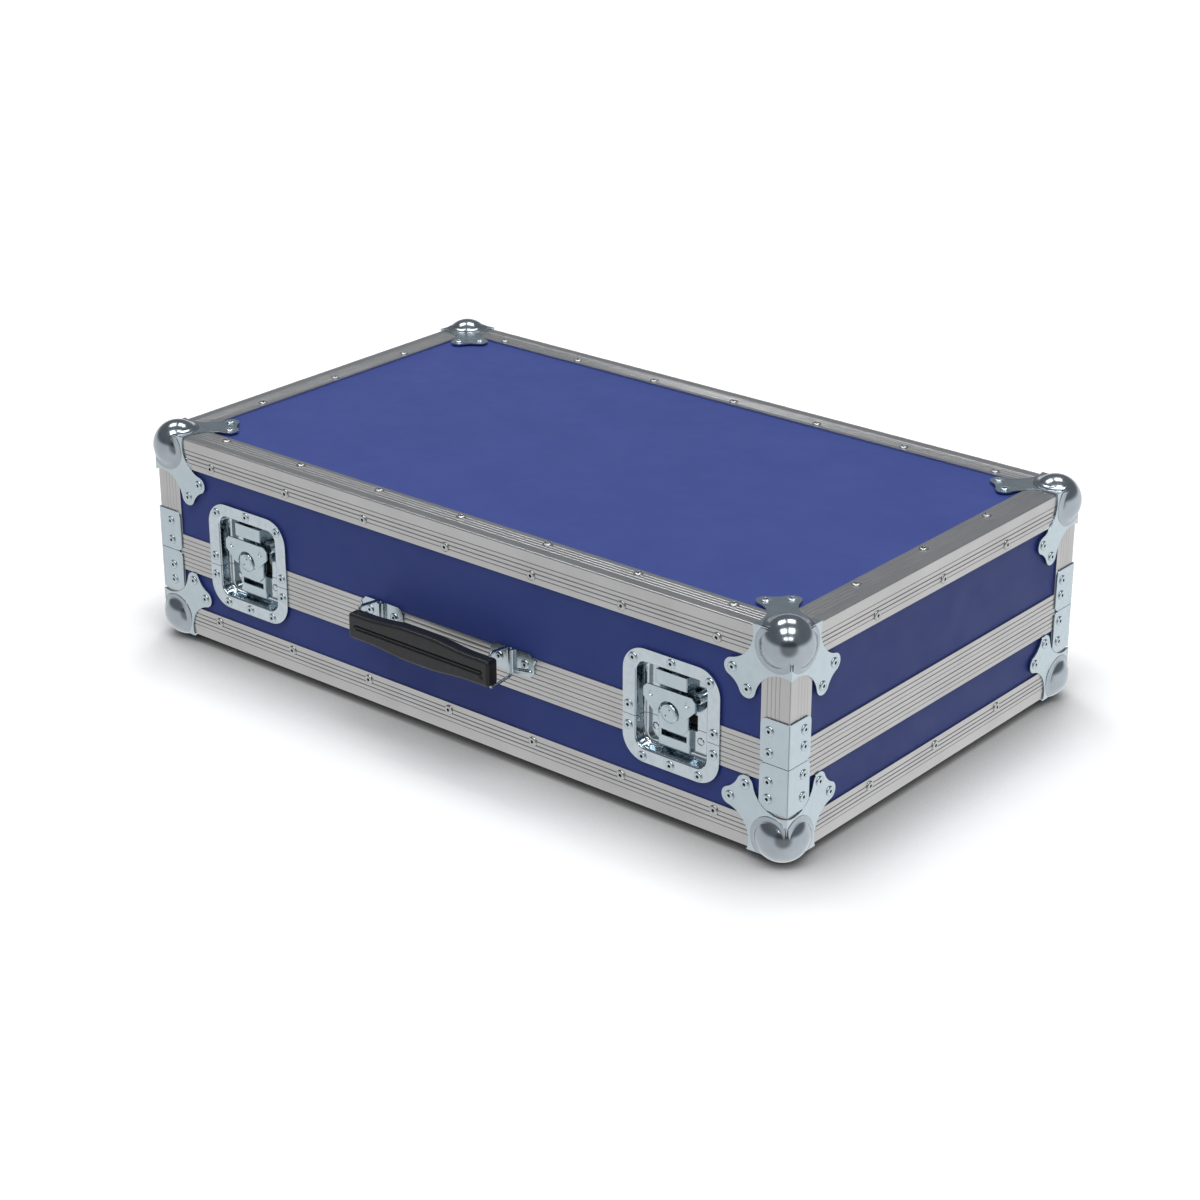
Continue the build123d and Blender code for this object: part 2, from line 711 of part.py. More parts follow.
def claw(x):
    """Sliding claw: a chamfered plate with side flanges, a shaft slot and a tail under the bridge."""
    low, top, tail = CLAW_BOTTOM, CLAW_TOP, CLAW_TAIL_TOP
    half, cut = CLAW_HALF, CLAW_CHAMFER
    outline = [
        (-half, low + cut),
        (cut - half, low),
        (half - cut, low),
        (half, low + cut),
        (half, top),
        (CLAW_TAIL_HALF, top),
        (CLAW_TAIL_HALF, tail),
        (-CLAW_TAIL_HALF, tail),
        (-CLAW_TAIL_HALF, top),
        (-half, top),
    ]
    flat = make_face(Polyline(*outline, close=True))
    body = inwards(Pos(MECHANISM_OFFSET, 0) * flat, x, CLAW_DEPTH, SHEET)
    centre = x + MECHANISM_OFFSET
    for side in (-1, 1):
        inner, outer = sorted((centre + side * (half - SHEET), centre + side * half))
        front = latch_y(CLAW_DEPTH)
        back = front + CLAW_FLANGE_DEPTH
        body = body + block(inner, outer, front, back, LATCH_Z + CLAW_FLANGE_FROM, LATCH_Z + top)
    width = 2 * (SHAFT_RADIUS + CLAW_SLOT_PLAY)
    middle = Pos(MECHANISM_OFFSET, HUB_RISE + CLAW_TRAVEL / 2) * Rot(0, 0, 90)
    slot = middle * SlotCenterToCenter(CLAW_TRAVEL, width)
    return body - inwards(slot, x, CLAW_DEPTH, SHEET)


def pivot_rod(x0, x1, radius):
    """A rod along X on the wing's pivot line."""
    return Pos((x0 + x1) / 2, latch_y(WING_DEPTH) + SHEET, HUB_Z) * Rot(0, 90, 0) * Cylinder(radius, x1 - x0)


def hub(x):
    """Round hub and its shaft, which turns in the dish floor and is headed over behind it."""
    place = Pos(MECHANISM_OFFSET, HUB_RISE)
    disc_back = CLAW_DEPTH - 2 * CLAW_SLOT_PLAY
    disc = inwards(place * Circle(HUB_RADIUS), x, -HUB_PROUD, disc_back + HUB_PROUD)
    floor_back = DISH_DEPTH + DISH_WALL
    shaft = inwards(place * Circle(SHAFT_RADIUS), x, disc_back, floor_back + SHAFT_PLAY - disc_back)
    head = inwards(place * Circle(SHAFT_HEAD_RADIUS), x, floor_back + SHAFT_PLAY, SHAFT_HEAD)
    centre = x + MECHANISM_OFFSET
    body = disc + shaft + head
    return body - pivot_rod(centre - HUB_RADIUS, centre + HUB_RADIUS, PIVOT_RADIUS + PIVOT_PLAY)


def wing(x):
    """Butterfly wing that folds flat round the hub, with two lugs and pivot stubs on its back."""
    half, top, cut = WING_HALF, WING_TOP, WING_CHAMFER
    right = [
        (half - cut, top),
        (half, top - cut),
        (half, WING_SHOULDER),
        (WING_WAIST, WING_FOOT / 2),
        (WING_WAIST - cut, WING_FOOT),
    ]
    left = [(-u, v) for u, v in reversed(right)]
    flat = make_face(Polyline(*right, *left, close=True)) - Circle(WING_HOLE_RADIUS)
    body = inwards(Pos(MECHANISM_OFFSET, HUB_RISE) * flat, x, WING_DEPTH, SHEET)
    centre = x + MECHANISM_OFFSET
    root = WING_HOLE_RADIUS + LUG_SET
    for side in (-1, 1):
        near, far = sorted((centre + side * root, centre + side * (root + LUG_WIDTH)))
        body = body + pivot_rod(near, far, LUG_RADIUS)
        near, far = sorted((centre + side * PIVOT_REACH, centre + side * (root + LUG_WIDTH / 2)))
        body = body + pivot_rod(near, far, PIVOT_RADIUS)
    return body


def handle_bracket(sign):
    """Riveted bracket with a raised channel that holds the back rod of a handle loop."""
    x = sign * BRACKET_SPREAD
    half_w, half_h, cut = BRACKET_WIDTH / 2, BRACKET_HEIGHT / 2, BRACKET_CHAMFER
    quarter = [(half_w, half_h - cut), (half_w - cut, half_h)]
    outline = quarter + [(-u, v) for u, v in reversed(quarter)]
    outline = outline + [(-u, -v) for u, v in outline]
    front = Plane(origin=(x, FRONT, HANDLE_Z), x_dir=(1, 0, 0), z_dir=(0, -1, 0))
    plate = extrude(profile(outline, front), amount=SHEET)
    rod_line = Pos(x, FRONT - LOOP_BACK, HANDLE_Z)
    channel = rod_line * Cylinder(CHANNEL_RADIUS, BRACKET_HEIGHT)
    behind = block(x - half_w, x + half_w, FRONT, FRONT + half_w, HANDLE_Z - half_h, HANDLE_Z + half_h)
    bore = rod_line * Cylinder(LOOP_WIRE + LOOP_BORE_PLAY, 2 * BRACKET_HEIGHT)
    return (plate + channel) - behind - bore


def handle_loop(sign):
    """Closed wire loop, taller at the front, whose back rod turns in its bracket."""
    x = sign * BRACKET_SPREAD
    corners = [
        (x, FRONT - LOOP_BACK, HANDLE_Z - LOOP_BACK_HALF),
        (x, FRONT - LOOP_FRONT, HANDLE_Z - LOOP_FRONT_HALF),
        (x, FRONT - LOOP_FRONT, HANDLE_Z + LOOP_FRONT_HALF),
        (x, FRONT - LOOP_BACK, HANDLE_Z + LOOP_BACK_HALF),
    ]
    path = FilletPolyline(*corners, radius=LOOP_BEND, close=True)
    start = path @ 0
    section = Plane(origin=start, z_dir=path % 0) * RegularPolygon(LOOP_WIRE, LOOP_WIRE_FLATS)
    return sweep(section, path=path)


def grip_outline():
    """Front outline of the moulded grip: low ends swelling to a taller middle."""
    end, middle = GRIP_END_HALF, GRIP_MIDDLE_HALF
    halfway = ((GRIP_NECK_HALF + GRIP_FLAT_HALF) / 2, (end + middle) / 2)
    swell = [
        TangentArc((GRIP_FLAT_HALF, middle), halfway, tangent=(1, 0)),
        TangentArc((GRIP_NECK_HALF, end), halfway, tangent=(-1, 0)),
    ]
    top = [
        Line((-GRIP_HALF, end), (-GRIP_NECK_HALF, end)),
        *[mirror(part, about=Plane.YZ) for part in swell],
        Line((-GRIP_FLAT_HALF, middle), (GRIP_FLAT_HALF, middle)),
        *swell,
        Line((GRIP_NECK_HALF, end), (GRIP_HALF, end)),
    ]
    bottom = [mirror(part, about=Plane.XZ) for part in top]
    ends = [Line((s * GRIP_HALF, -end), (s * GRIP_HALF, end)) for s in (-1, 1)]
    return make_face(top + bottom + ends)


def grip():
    """Moulded handle grip with a long recess in its front and a bore at each end for the loops."""
    plane = Plane(origin=(0, FRONT - GRIP_FRONT + GRIP_THICK, HANDLE_Z), x_dir=(1, 0, 0), z_dir=(0, -1, 0))
    body = extrude(plane * grip_outline(), amount=GRIP_THICK)
    long_edges = [e for e in body.edges() if abs(e.tangent_at(0.5).X) > 0.5]
    body = fillet(long_edges, GRIP_ROUND)
    recess = Rectangle(2 * GRIP_GROOVE_HALF, GRIP_GROOVE_HEIGHT)
    face = Plane(origin=(0, FRONT - GRIP_FRONT, HANDLE_Z), x_dir=(1, 0, 0), z_dir=(0, -1, 0))
    body = body - extrude(face * recess, amount=-GRIP_GROOVE_DEPTH)
    for sign in SIDES.values():
        rod_line = Pos(sign * BRACKET_SPREAD, FRONT - LOOP_FRONT, HANDLE_Z)
        body = body - rod_line * Cylinder(LOOP_WIRE + LOOP_BORE_PLAY, 2 * GRIP_MIDDLE_HALF)
    return body


def along_hinge(x0, x1, radius):
    """A round bar on the lid's turning line."""
    return Pos((x0 + x1) / 2, AXIS_Y, SPLIT) * Rot(0, 90, 0) * Cylinder(radius, x1 - x0)


def hinge_leaf(x, up):
    """One leaf of a butt hinge with its knuckles: the two outer ones below, the middle one above."""
    half = HINGE_LENGTH / 2
    third = HINGE_LENGTH / 6
    gap = KNUCKLE_PLAY / 2
    low, high = sorted((SPLIT, SPLIT + up * HINGE_LEAF))
    leaf = block(x - half, x + half, BACK, BACK + HINGE_SHEET, low, high)
    middle = (x - third + gap, x + third - gap)
    outer = [(x - half, x - third - gap), (x + third + gap, x + half)]
    own, other = ([middle], outer) if up > 0 else (outer, [middle])
    for x0, x1 in other:
        leaf = leaf - along_hinge(x0 - 2 * gap, x1 + 2 * gap, KNUCKLE_RADIUS + KNUCKLE_PLAY)
    for x0, x1 in own:
        leaf = leaf + along_hinge(x0, x1, KNUCKLE_RADIUS)
    return leaf - along_hinge(x - half, x + half, PIN_RADIUS + PIN_PLAY)


def hinge_pin(x):
    """Headed hinge pin."""
    half = HINGE_LENGTH / 2
    pin = along_hinge(x - half, x + half, PIN_RADIUS)
    heads = [
        along_hinge(x - half - PIN_HEAD, x - half, PIN_HEAD_RADIUS),
        along_hinge(x + half, x + half + PIN_HEAD, PIN_HEAD_RADIUS),
    ]
    return pin + heads


def foam_walls(low, high):
    """Four foam pads round the walls of one half; the front one has pockets for the latch dishes."""
    wide = HALF - FOAM_OUT
    side_front, side_back = FRONT + FOAM_IN + FOAM_PLAY, BACK - FOAM_IN - FOAM_PLAY
    front = block(-wide, wide, FRONT + FOAM_OUT, FRONT + FOAM_IN, low, high)
    for x in latch_centres():
        reach = FRONT + DISH_BACK + SHAFT_HEAD + CUT_PLAY
        half = DISH_WIDTH / 2 + DISH_WALL + CUT_PLAY
        bottom, top = LATCH_Z - DISH_DOWN - DISH_WALL - CUT_PLAY, LATCH_Z + DISH_UP + DISH_WALL + CUT_PLAY
        front = front - block(x - half, x + half, FRONT, reach, bottom, top)
    back = block(-wide, wide, BACK - FOAM_IN, BACK - FOAM_OUT, low, high)
    left = block(-wide, -HALF + FOAM_IN, side_front, side_back, low, high)
    right = block(HALF - FOAM_IN, wide, side_front, side_back, low, high)
    return Compound([front, back, left, right])


def foam_slab(low, high):
    """Foam slab that fills the floor or the top between the wall pads."""
    inset = FOAM_IN + FOAM_PLAY
    return block(inset - HALF, HALF - inset, FRONT + inset, BACK - inset, low, high)


def build():
    """Every named piece of the case."""
    nodes = dict(panels())
    for half, z, up in (("base", BOTTOM, 1), ("lid", TOP, -1)):
        for side, shape in case_edges(z, up).items():
            nodes[f"{half}_{side}_edge"] = shape
    nodes["base_uprights"] = uprights(BOTTOM + EDGE_WIDTH, SPLIT - BASE_RIM_HEIGHT)
    nodes["lid_uprights"] = uprights(LID_BOTTOM + LID_RIM_HEIGHT, TOP - EDGE_WIDTH)
    for half, section, z, up in (
        ("base", base_rim_section(), SPLIT, -1),
        ("lid", lid_rim_section(), LID_BOTTOM, 1),
    ):
        for side, shape in rims(section, z, up).items():
            nodes[f"{half}_{side}_rim"] = shape

    corner = ball_corner()
    nodes["base_ball_corners"] = Compound(corner_set(corner, -1))
    nodes["lid_ball_corners"] = Compound(corner_set(corner, 1))
    nodes["base_corner_braces"] = Compound(corner_set(base_brace(), -1))
    brace_foot = LID_HEIGHT - LID_GAP
    lid_brace = brace(brace_foot - LID_BRACE_HEIGHT, brace_foot, True, True)
    nodes["lid_corner_braces"] = Compound(corner_set(lid_brace, 1))

    base_heads = edge_rivets(BOTTOM, 1) + ball_corner_rivets(-1) + brace_rivets(SPLIT, -1, BASE_BRACE_RIVETS)
    base_heads = base_heads + latch_rivets(False) + hinge_rivets(-1)
    lid_heads = edge_rivets(TOP, -1) + ball_corner_rivets(1) + brace_rivets(LID_BOTTOM, 1, LID_BRACE_RIVETS)
    lid_heads = lid_heads + latch_rivets(True) + hinge_rivets(1) + bracket_rivets()
    nodes["base_rivets"] = Compound(base_heads)
    nodes["lid_rivets"] = Compound(lid_heads)

    floor_low = BOTTOM + FOAM_OUT
    roof = TOP - FOAM_OUT
    nodes["base_floor_foam"] = foam_slab(floor_low, floor_low + FLOOR_FOAM)
    nodes["base_wall_foam"] = foam_walls(floor_low, SPLIT - FOAM_BELOW_RIM)
    nodes["lid_top_foam"] = foam_slab(roof - TOP_FOAM, roof)
    nodes["lid_wall_foam"] = foam_walls(LID_BOTTOM + FOAM_BELOW_RIM, roof)

    for side, sign in SIDES.items():
        x = sign * LATCH_SPREAD
        nodes[f"latch_{side}_lid_plate"] = lid_latch_plate(x)
        nodes[f"latch_{side}_base_plate"] = base_latch_plate(x)
        nodes[f"latch_{side}_bridge"] = latch_bridge(x)
        nodes[f"latch_{side}_keeper"] = keeper(x)
        nodes[f"latch_{side}_hub"] = hub(x)
        nodes[f"latch_{side}_wing"] = wing(x)
        nodes[f"latch_{side}_claw"] = claw(x)
        nodes[f"handle_{side}_loop"] = handle_loop(sign)
    nodes["handle_brackets"] = Compound([handle_bracket(sign) for sign in SIDES.values()])
    nodes["handle_grip"] = grip()

    nodes["hinge_base_leaves"] = Compound([hinge_leaf(x, -1) for x in hinge_centres()])
    nodes["hinge_lid_leaves"] = Compound([hinge_leaf(x, 1) for x in hinge_centres()])
    nodes["hinge_pins"] = Compound([hinge_pin(x) for x in hinge_centres()])
    return nodes


os.makedirs("parts", exist_ok=True)
for node_name, node_shape in build().items():
    export_step(node_shape, f"parts/{node_name}.step")
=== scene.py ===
"""Finish and studio for a foam-lined flight case with ball corners, recessed latches and a folding handle."""

import json
import math

import bpy
from mathutils import Matrix, Vector


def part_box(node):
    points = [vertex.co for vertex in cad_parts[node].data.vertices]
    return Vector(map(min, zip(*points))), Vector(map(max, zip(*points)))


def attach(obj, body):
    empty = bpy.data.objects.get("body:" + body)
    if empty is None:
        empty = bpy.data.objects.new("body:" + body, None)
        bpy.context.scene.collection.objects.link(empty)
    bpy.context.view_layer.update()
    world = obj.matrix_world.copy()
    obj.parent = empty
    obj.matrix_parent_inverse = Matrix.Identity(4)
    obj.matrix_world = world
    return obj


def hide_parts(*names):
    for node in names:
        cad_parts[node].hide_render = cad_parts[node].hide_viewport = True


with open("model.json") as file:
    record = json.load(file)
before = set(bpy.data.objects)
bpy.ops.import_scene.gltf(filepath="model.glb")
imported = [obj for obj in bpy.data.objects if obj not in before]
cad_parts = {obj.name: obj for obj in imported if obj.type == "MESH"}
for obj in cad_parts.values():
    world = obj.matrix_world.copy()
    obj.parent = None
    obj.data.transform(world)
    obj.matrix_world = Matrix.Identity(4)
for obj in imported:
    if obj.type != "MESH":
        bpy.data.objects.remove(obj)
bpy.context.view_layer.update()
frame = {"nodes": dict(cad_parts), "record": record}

MM = 0.001
NODES = frame["nodes"]
BODY_OF = {
    node: body for body, nodes in frame["record"]["behaviour"]["bodies"].items() for node in nodes
}

# Camera, solved from the straight edges of the case
CAMERA_PLACE = (1.5390, -1.83945, 1.1164)
CAMERA_AZIMUTH = 39.795
CAMERA_ELEVATION = 23.528
CAMERA_LENS = 80.74
CAMERA_SENSOR = 36.0
CAMERA_NEAR = 0.05
CAMERA_FAR = 100.0

# Light levels of the studio, and its floor, which darkens near the case
WALL = 1.0
WALL_LEAN = 0.12
FLAG = 0.35
CEILING = 0.22
CEILING_TINT = (0.93, 0.98, 1.06)
BOX_LIGHT = 6.3
FLOOR_SIZE = 60.0
FLOOR_SEEN = "#FAFAFA"
FLOOR_BOUNCE = "#A4A4A4"
FLOOR_GLOW = 0.2
SHADOW_REACH = 0.1
SHADOW_DEPTH = 1.2
SHADOW_SAMPLES = 8

# Where the walls end and the ceiling and softboxes start, as the rise of a line of sight
WALL_TOP = 0.01
CEILING_FROM = 0.2
LOWEST_BOX = 0.15

# Where the black flag starts and is full, as the cosine of the angle from the camera's bearing
FLAG_FROM = 0.76
FLAG_FULL = 0.9

# Two columns of softboxes on a ceiling one unit up, placed across and away from the camera
BOX_HALF = 0.19
COLUMN_MIDDLE = -0.075
COLUMN_PITCH = 0.55
ROW_COUNT = 3
ROW_MIDDLE = -0.32
ROW_PITCH = 0.88

# Sizes of the case, in millimetres
SHEET = 1.5
LATCH_SPREAD = 261.0
LATCH_RISE = 12.6
BALL_RADIUS = 24.5
BALL_INSET = 15.0
CORNER_CROP = 10.5
FOLD_ROLL = 1.1
RIVET_RADIUS = 4.7
RIVET_GROUP_REACH = 12.0
BORE_RADIUS = 1.5
PLATE_WIDTH = 105.6
PLATE_HEIGHT = 108.4
PLATE_CORNER = 24.0
DISH_WIDTH = 77.0
DISH_UP = 41.2
DISH_DOWN = 40.6
DISH_DEPTH = 13.0
MECHANISM_OFFSET = -2.5
HUB_RISE = 0.5
HUB_PROUD = 0.3
HUB_RADIUS = 9.2
HUB_BACK = -5.8
SHAFT_RADIUS = 4.0
SHAFT_HEAD_RADIUS = 6.0
PIVOT_RADIUS = 0.96
PIVOT_AT = -2.3
SPANNER_HOLE_RADIUS = 0.85
SPANNER_HOLE_FLOOR = -1.4
LATCH_BENDS = {"bridge": 1.35, "keeper": 1.35, "claw": 1.2}
LID_GAP = 0.3
HANDLE_RISE = 11.4
BRACKET_SPREAD = 80.5
LOOP_FRONT = 31.0
LOOP_WIRE = 1.4
GRIP_HALF = 86.3
GRIP_FRONT = 40.8
GRIP_THICK = 14.0
GRIP_END_HALF = 12.6
GRIP_MIDDLE_HALF = 16.2
GRIP_FLAT_HALF = 12.0
GRIP_NECK_HALF = 64.0
GRIP_SWELL_STEPS = 12
GRIP_ROLL = 3.0
GROOVE_FROM_END = 7.3
GROOVE_RADIUS = 2.9
HOOK_RADIUS = 2.3
BEAD_RADIUS = 1.3
RIDGE_RADIUS = 1.9
TAB_RADIUS = 1.1

# How far edges are rolled, in millimetres
EXTRUSION_ROLL = 0.4
FITTING_ROLL = 0.3
WING_ROLL = 0.4
BRACKET_ROLL = 0.35
FOAM_ROLL = 2.2

# Places across and up from a latch's middle
WINDOW_LOW = (11.8, -14.4)
WINDOW_HIGH = (19.6, 0.4)
EYE_PLACE = (25.0, 20.5)
BUTTON_PLACES = ((-25.7, -22.7), (23.4, -22.7))

# Places across and up from a latch hub's middle
DIMPLE_PLACES = ((-19.6, 13.8), (19.6, 13.8))
SPANNER_HOLE_PLACES = ((1.4, 4.0), (-2.6, -2.1))

# Ends of what is pressed on a handle bracket: outwards from its middle, back from the sheet's face, and up
RIDGE_ENDS = ((6.5, -0.2, -8.0), (21.5, -0.2, -5.6))
TAB_ENDS = ((25.6, 0.4, 3.0), (27.4, 0.2, 6.0))

# How near, in metres, two places count as one
NEAR = 0.02 * MM

# The case's box over the extrusions and the height of its split, from the frame
CASE_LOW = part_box("base_front_edge")[0]
CASE_HIGH = Vector((-CASE_LOW.x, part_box("base_back_edge")[1].y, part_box("lid_front_edge")[1].z))
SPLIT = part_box("latch_left_base_plate")[1].z


# Helpers for modelling


def deselect():
    """Leave nothing selected."""
    if bpy.context.object and bpy.context.object.mode != "OBJECT":
        bpy.ops.object.mode_set(mode="OBJECT")
    bpy.ops.object.select_all(action="DESELECT")


def select(*objects):
    """Select only these objects, the first one active."""
    deselect()
    for obj in objects:
        obj.select_set(True)
    bpy.context.view_layer.objects.active = objects[0]


def named(name):
    """Name the active object and its mesh."""
    obj = bpy.context.object
    obj.name = name
    obj.data.name = name
    return obj


def apply_place(obj):
    """Move an object's place, turn and scale into its mesh."""
    select(obj)
    bpy.ops.object.transform_apply(location=True, rotation=True, scale=True)


def apply_modifiers(obj):
    """Apply every modifier in order."""
    select(obj)
    for modifier in list(obj.modifiers):
        bpy.ops.object.modifier_apply(modifier=modifier.name)


def join(objects, name):
    """Join objects into one piece."""
    select(*objects)
    if len(objects) > 1:
        bpy.ops.object.join()
    return named(name)


def remove(*objects):
    """Delete working objects."""
    for obj in objects:
        bpy.data.objects.remove(obj)


def edit(obj, kind="FACE", everything=False):
    """Open a mesh for editing its vertices, edges or faces, with nothing or all of it selected."""
    select(obj)
    bpy.ops.object.mode_set(mode="EDIT")
    bpy.ops.mesh.select_mode(type=kind)
    bpy.ops.mesh.select_all(action="SELECT" if everything else "DESELECT")


def close():
    """End editing."""
    bpy.ops.object.mode_set(mode="OBJECT")


def pick(obj, kind, test):
    """Open a mesh with the vertices, edges or faces selected that pass a test."""
    edit(obj, kind)
    close()
    items = {"VERT": obj.data.vertices, "EDGE": obj.data.edges, "FACE": obj.data.polygons}[kind]
    for item in items:
        item.select = test(item)
    bpy.ops.object.mode_set(mode="EDIT")


def moved(obj, matrix):
    """Move a mesh by a matrix, with its faces still outwards where the matrix mirrors."""
    obj.data.transform(matrix)
    if matrix.determinant() < 0:
        obj.data.flip_normals()
    return obj


def placed_copy(obj, matrix):
    """A copy with its own mesh, moved by a matrix that goes into the mesh."""
    copy = obj.copy()
    copy.data = obj.data.copy()
    bpy.context.scene.collection.objects.link(copy)
    return moved(copy, matrix)


def turned(name, rings, segments, hollow=False):
    """A round piece about Z, drawn out through (radius, height) rings; a hollow one ends where it began."""
    deselect()
    radius, height = rings[0]
    bpy.ops.mesh.primitive_circle_add(
        vertices=segments,
        radius=radius * MM,
        fill_type="NOTHING" if hollow else "NGON",
        location=(0, 0, height * MM),
    )
    obj = named(name)
    apply_place(obj)
    edit(obj, "EDGE" if hollow else "FACE", everything=True)
    for next_radius, next_height in rings[1:]:
        bpy.ops.mesh.extrude_region_move(
            TRANSFORM_OT_translate={"value": (0, 0, (next_height - height) * MM)}
        )
        scale = next_radius / radius
        bpy.ops.transform.resize(value=(scale, scale, 1.0), center_override=(0, 0, next_height * MM))
        radius, height = next_radius, next_height
    bpy.ops.mesh.select_all(action="SELECT")
    bpy.ops.mesh.remove_doubles(threshold=0.001 * MM)
    bpy.ops.mesh.normals_make_consistent(inside=False)
    close()
    return obj


def bar(name, low, high):
    """A rectangular block between two corners in millimetres."""
    deselect()
    bpy.ops.mesh.primitive_cube_add(size=1.0)
    obj = named(name)
    obj.scale = [(high[k] - low[k]) * MM for k in range(3)]
    obj.location = [(high[k] + low[k]) / 2 * MM for k in range(3)]
    apply_place(obj)
    return obj


def capsule(name, radius, start, end, segments=16):
    """A round-ended rod between two points in millimetres, with a small flat at each tip."""
    start, end = Vector(start), Vector(end)
    length = (end - start).length
    steps, tip = 5, 0.08
    turns = [math.radians(90 * i / steps) for i in range(steps)]
    cap = [(radius * max(math.sin(a), tip), -radius * math.cos(a)) for a in turns]
    rings = cap + [(radius, 0.0), (radius, length)] + [(r, length - h) for r, h in reversed(cap)]
    obj = turned(name, rings, segments)
    turn = (end - start).to_track_quat("Z", "Y").to_matrix().to_4x4()
    return moved(obj, Matrix.Translation(start * MM) @ turn)


def rounded_plate(name, width, height, corner, segments=12):
    """A flat face with round corners in the XY plane, looking to +Z."""
    deselect()
    bpy.ops.mesh.primitive_plane_add(size=1.0)
    obj = named(name)
    obj.scale = (width * MM, height * MM, 1.0)
    apply_place(obj)
    edit(obj, "VERT", everything=True)
    bpy.ops.mesh.bevel(offset=corner * MM, offset_type="OFFSET", segments=segments, affect="VERTICES")
    close()
    return obj


def inset(thick, depth=0.0):
    """Draw the selected face inwards by a thickness and out by a depth, in millimetres."""
    bpy.ops.mesh.inset(thickness=thick * MM, depth=depth * MM, use_even_offset=True)


def rolled(radius, deeper, steps=4):
    """Inset steps round a quarter circle: over an outer edge, or deeper into an inner corner."""
    turns = [math.radians(90 * i / steps) for i in range(steps + 1)]
    for a, b in zip(turns, turns[1:]):
        sine, cosine = math.sin(b) - math.sin(a), math.cos(a) - math.cos(b)
        inset(*([radius * cosine, -radius * sine] if deeper else [radius * sine, -radius * cosine]))


def bored(obj, *cutters):
    """Cut other pieces out of a piece, and delete them."""
    for cutter in cutters:
        cut = obj.modifiers.new("cut", "BOOLEAN")
        cut.operation = "DIFFERENCE"
        cut.solver = "EXACT"
        cut.object = cutter
        apply_modifiers(obj)
    remove(*cutters)
    return obj


def softened(obj, width, segments=2, angle=40.0):
    """Roll a piece's sharp edges by a width in millimetres."""
    bevel = obj.modifiers.new("rolled edges", "BEVEL")
    bevel.width = width * MM
    bevel.segments = segments
    bevel.limit_method = "ANGLE"
    bevel.angle_limit = math.radians(angle)
    apply_modifiers(obj)
    return obj


def node_copy(node, name):
    """A copy of a frame node as one clean mesh."""
    deselect()
    obj = placed_copy(NODES[node], Matrix.Identity(4))
    obj.parent = None
    for key in list(obj.keys()):
        del obj[key]
    select(obj)
    named(name)
    edit(obj, "VERT", everything=True)
    bpy.ops.mesh.remove_doubles(threshold=0.004 * MM)
    bpy.ops.mesh.dissolve_limited(angle_limit=math.radians(0.5))
    close()
    return obj


def finished(obj, material, node, smooth=35.0):
    """Smooth a piece, give it its finish and body, and hide the frame node it stands for."""
    select(obj)
    bpy.ops.object.shade_smooth_by_angle(angle=math.radians(smooth))
    flats = obj.modifiers.new("flat faces stay flat", "WEIGHTED_NORMAL")
    flats.keep_sharp = True
    apply_modifiers(obj)
    if material:
        obj.data.materials.clear()
        obj.data.materials.append(material)
    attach(obj, BODY_OF[node])
    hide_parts(node)
    return obj


# Materials


def linear(code):
    """Linear colour of an sRGB hex value."""
    parts = [int(code[i : i + 2], 16) / 255 for i in (1, 3, 5)]
    return [c / 12.92 if c <= 0.04045 else ((c + 0.055) / 1.055) ** 2.4 for c in parts] + [1.0]


def add(tree, kind, settings=None, links=None):
    """Add a node to a tree, with its settings and what is linked to its inputs."""
    node = tree.nodes.new(kind)
    for key, value in (settings or {}).items():
        if isinstance(key, int) or key in node.inputs:
            node.inputs[key].default_value = value
        else:
            setattr(node, key, value)
    for key, source in (links or {}).items():
        tree.links.new(source, node.inputs[key])
    return node


def new_material(name):
    """An empty material and its tree, with the shader and the object's coordinates."""
    material = bpy.data.materials.new(name)
    material.use_nodes = True
    tree = material.node_tree
    tree.nodes.clear()
    output = add(tree, "ShaderNodeOutputMaterial")
    shader = add(tree, "ShaderNodeBsdfPrincipled")
    tree.links.new(shader.outputs["BSDF"], output.inputs["Surface"])
    place = add(tree, "ShaderNodeTexCoord").outputs["Object"]
    return material, tree, shader, place


def noise(tree, place, size, detail=2.0, stretch=(1.0, 1.0, 1.0)):
    """Noise whose features are about size millimetres across, stretched along the axes."""
    scaled = add(tree, "ShaderNodeMapping", {"Scale": [1.0 / s for s in stretch]}, {"Vector": place})
    settings = {"Scale": 1.0 / (size * MM), "Detail": detail}
    return add(tree, "ShaderNodeTexNoise", settings, {"Vector": scaled.outputs["Vector"]}).outputs["Fac"]


def spread(tree, source, low, high):
    """Map a noise value to a range."""
    limits = {"From Min": 0.3, "From Max": 0.7, "To Min": low, "To Max": high}
    return add(tree, "ShaderNodeMapRange", limits, {"Value": source}).outputs["Result"]


def tinted(tree, source, first, second):
    """A colour between two hex values."""
    ramp = add(tree, "ShaderNodeValToRGB", {}, {"Fac": source})
    ramp.color_ramp.elements[0].position = 0.3
    ramp.color_ramp.elements[0].color = linear(first)
    ramp.color_ramp.elements[1].position = 0.7
    ramp.color_ramp.elements[1].color = linear(second)
    return ramp.outputs["Color"]


def bumped(tree, shader, source, height):
    """Raise the surface by a height in millimetres where a value is high."""
    bump = add(tree, "ShaderNodeBump", {"Distance": height * MM, "Strength": 1.0}, {"Height": source})
    tree.links.new(bump.outputs["Normal"], shader.inputs["Normal"])


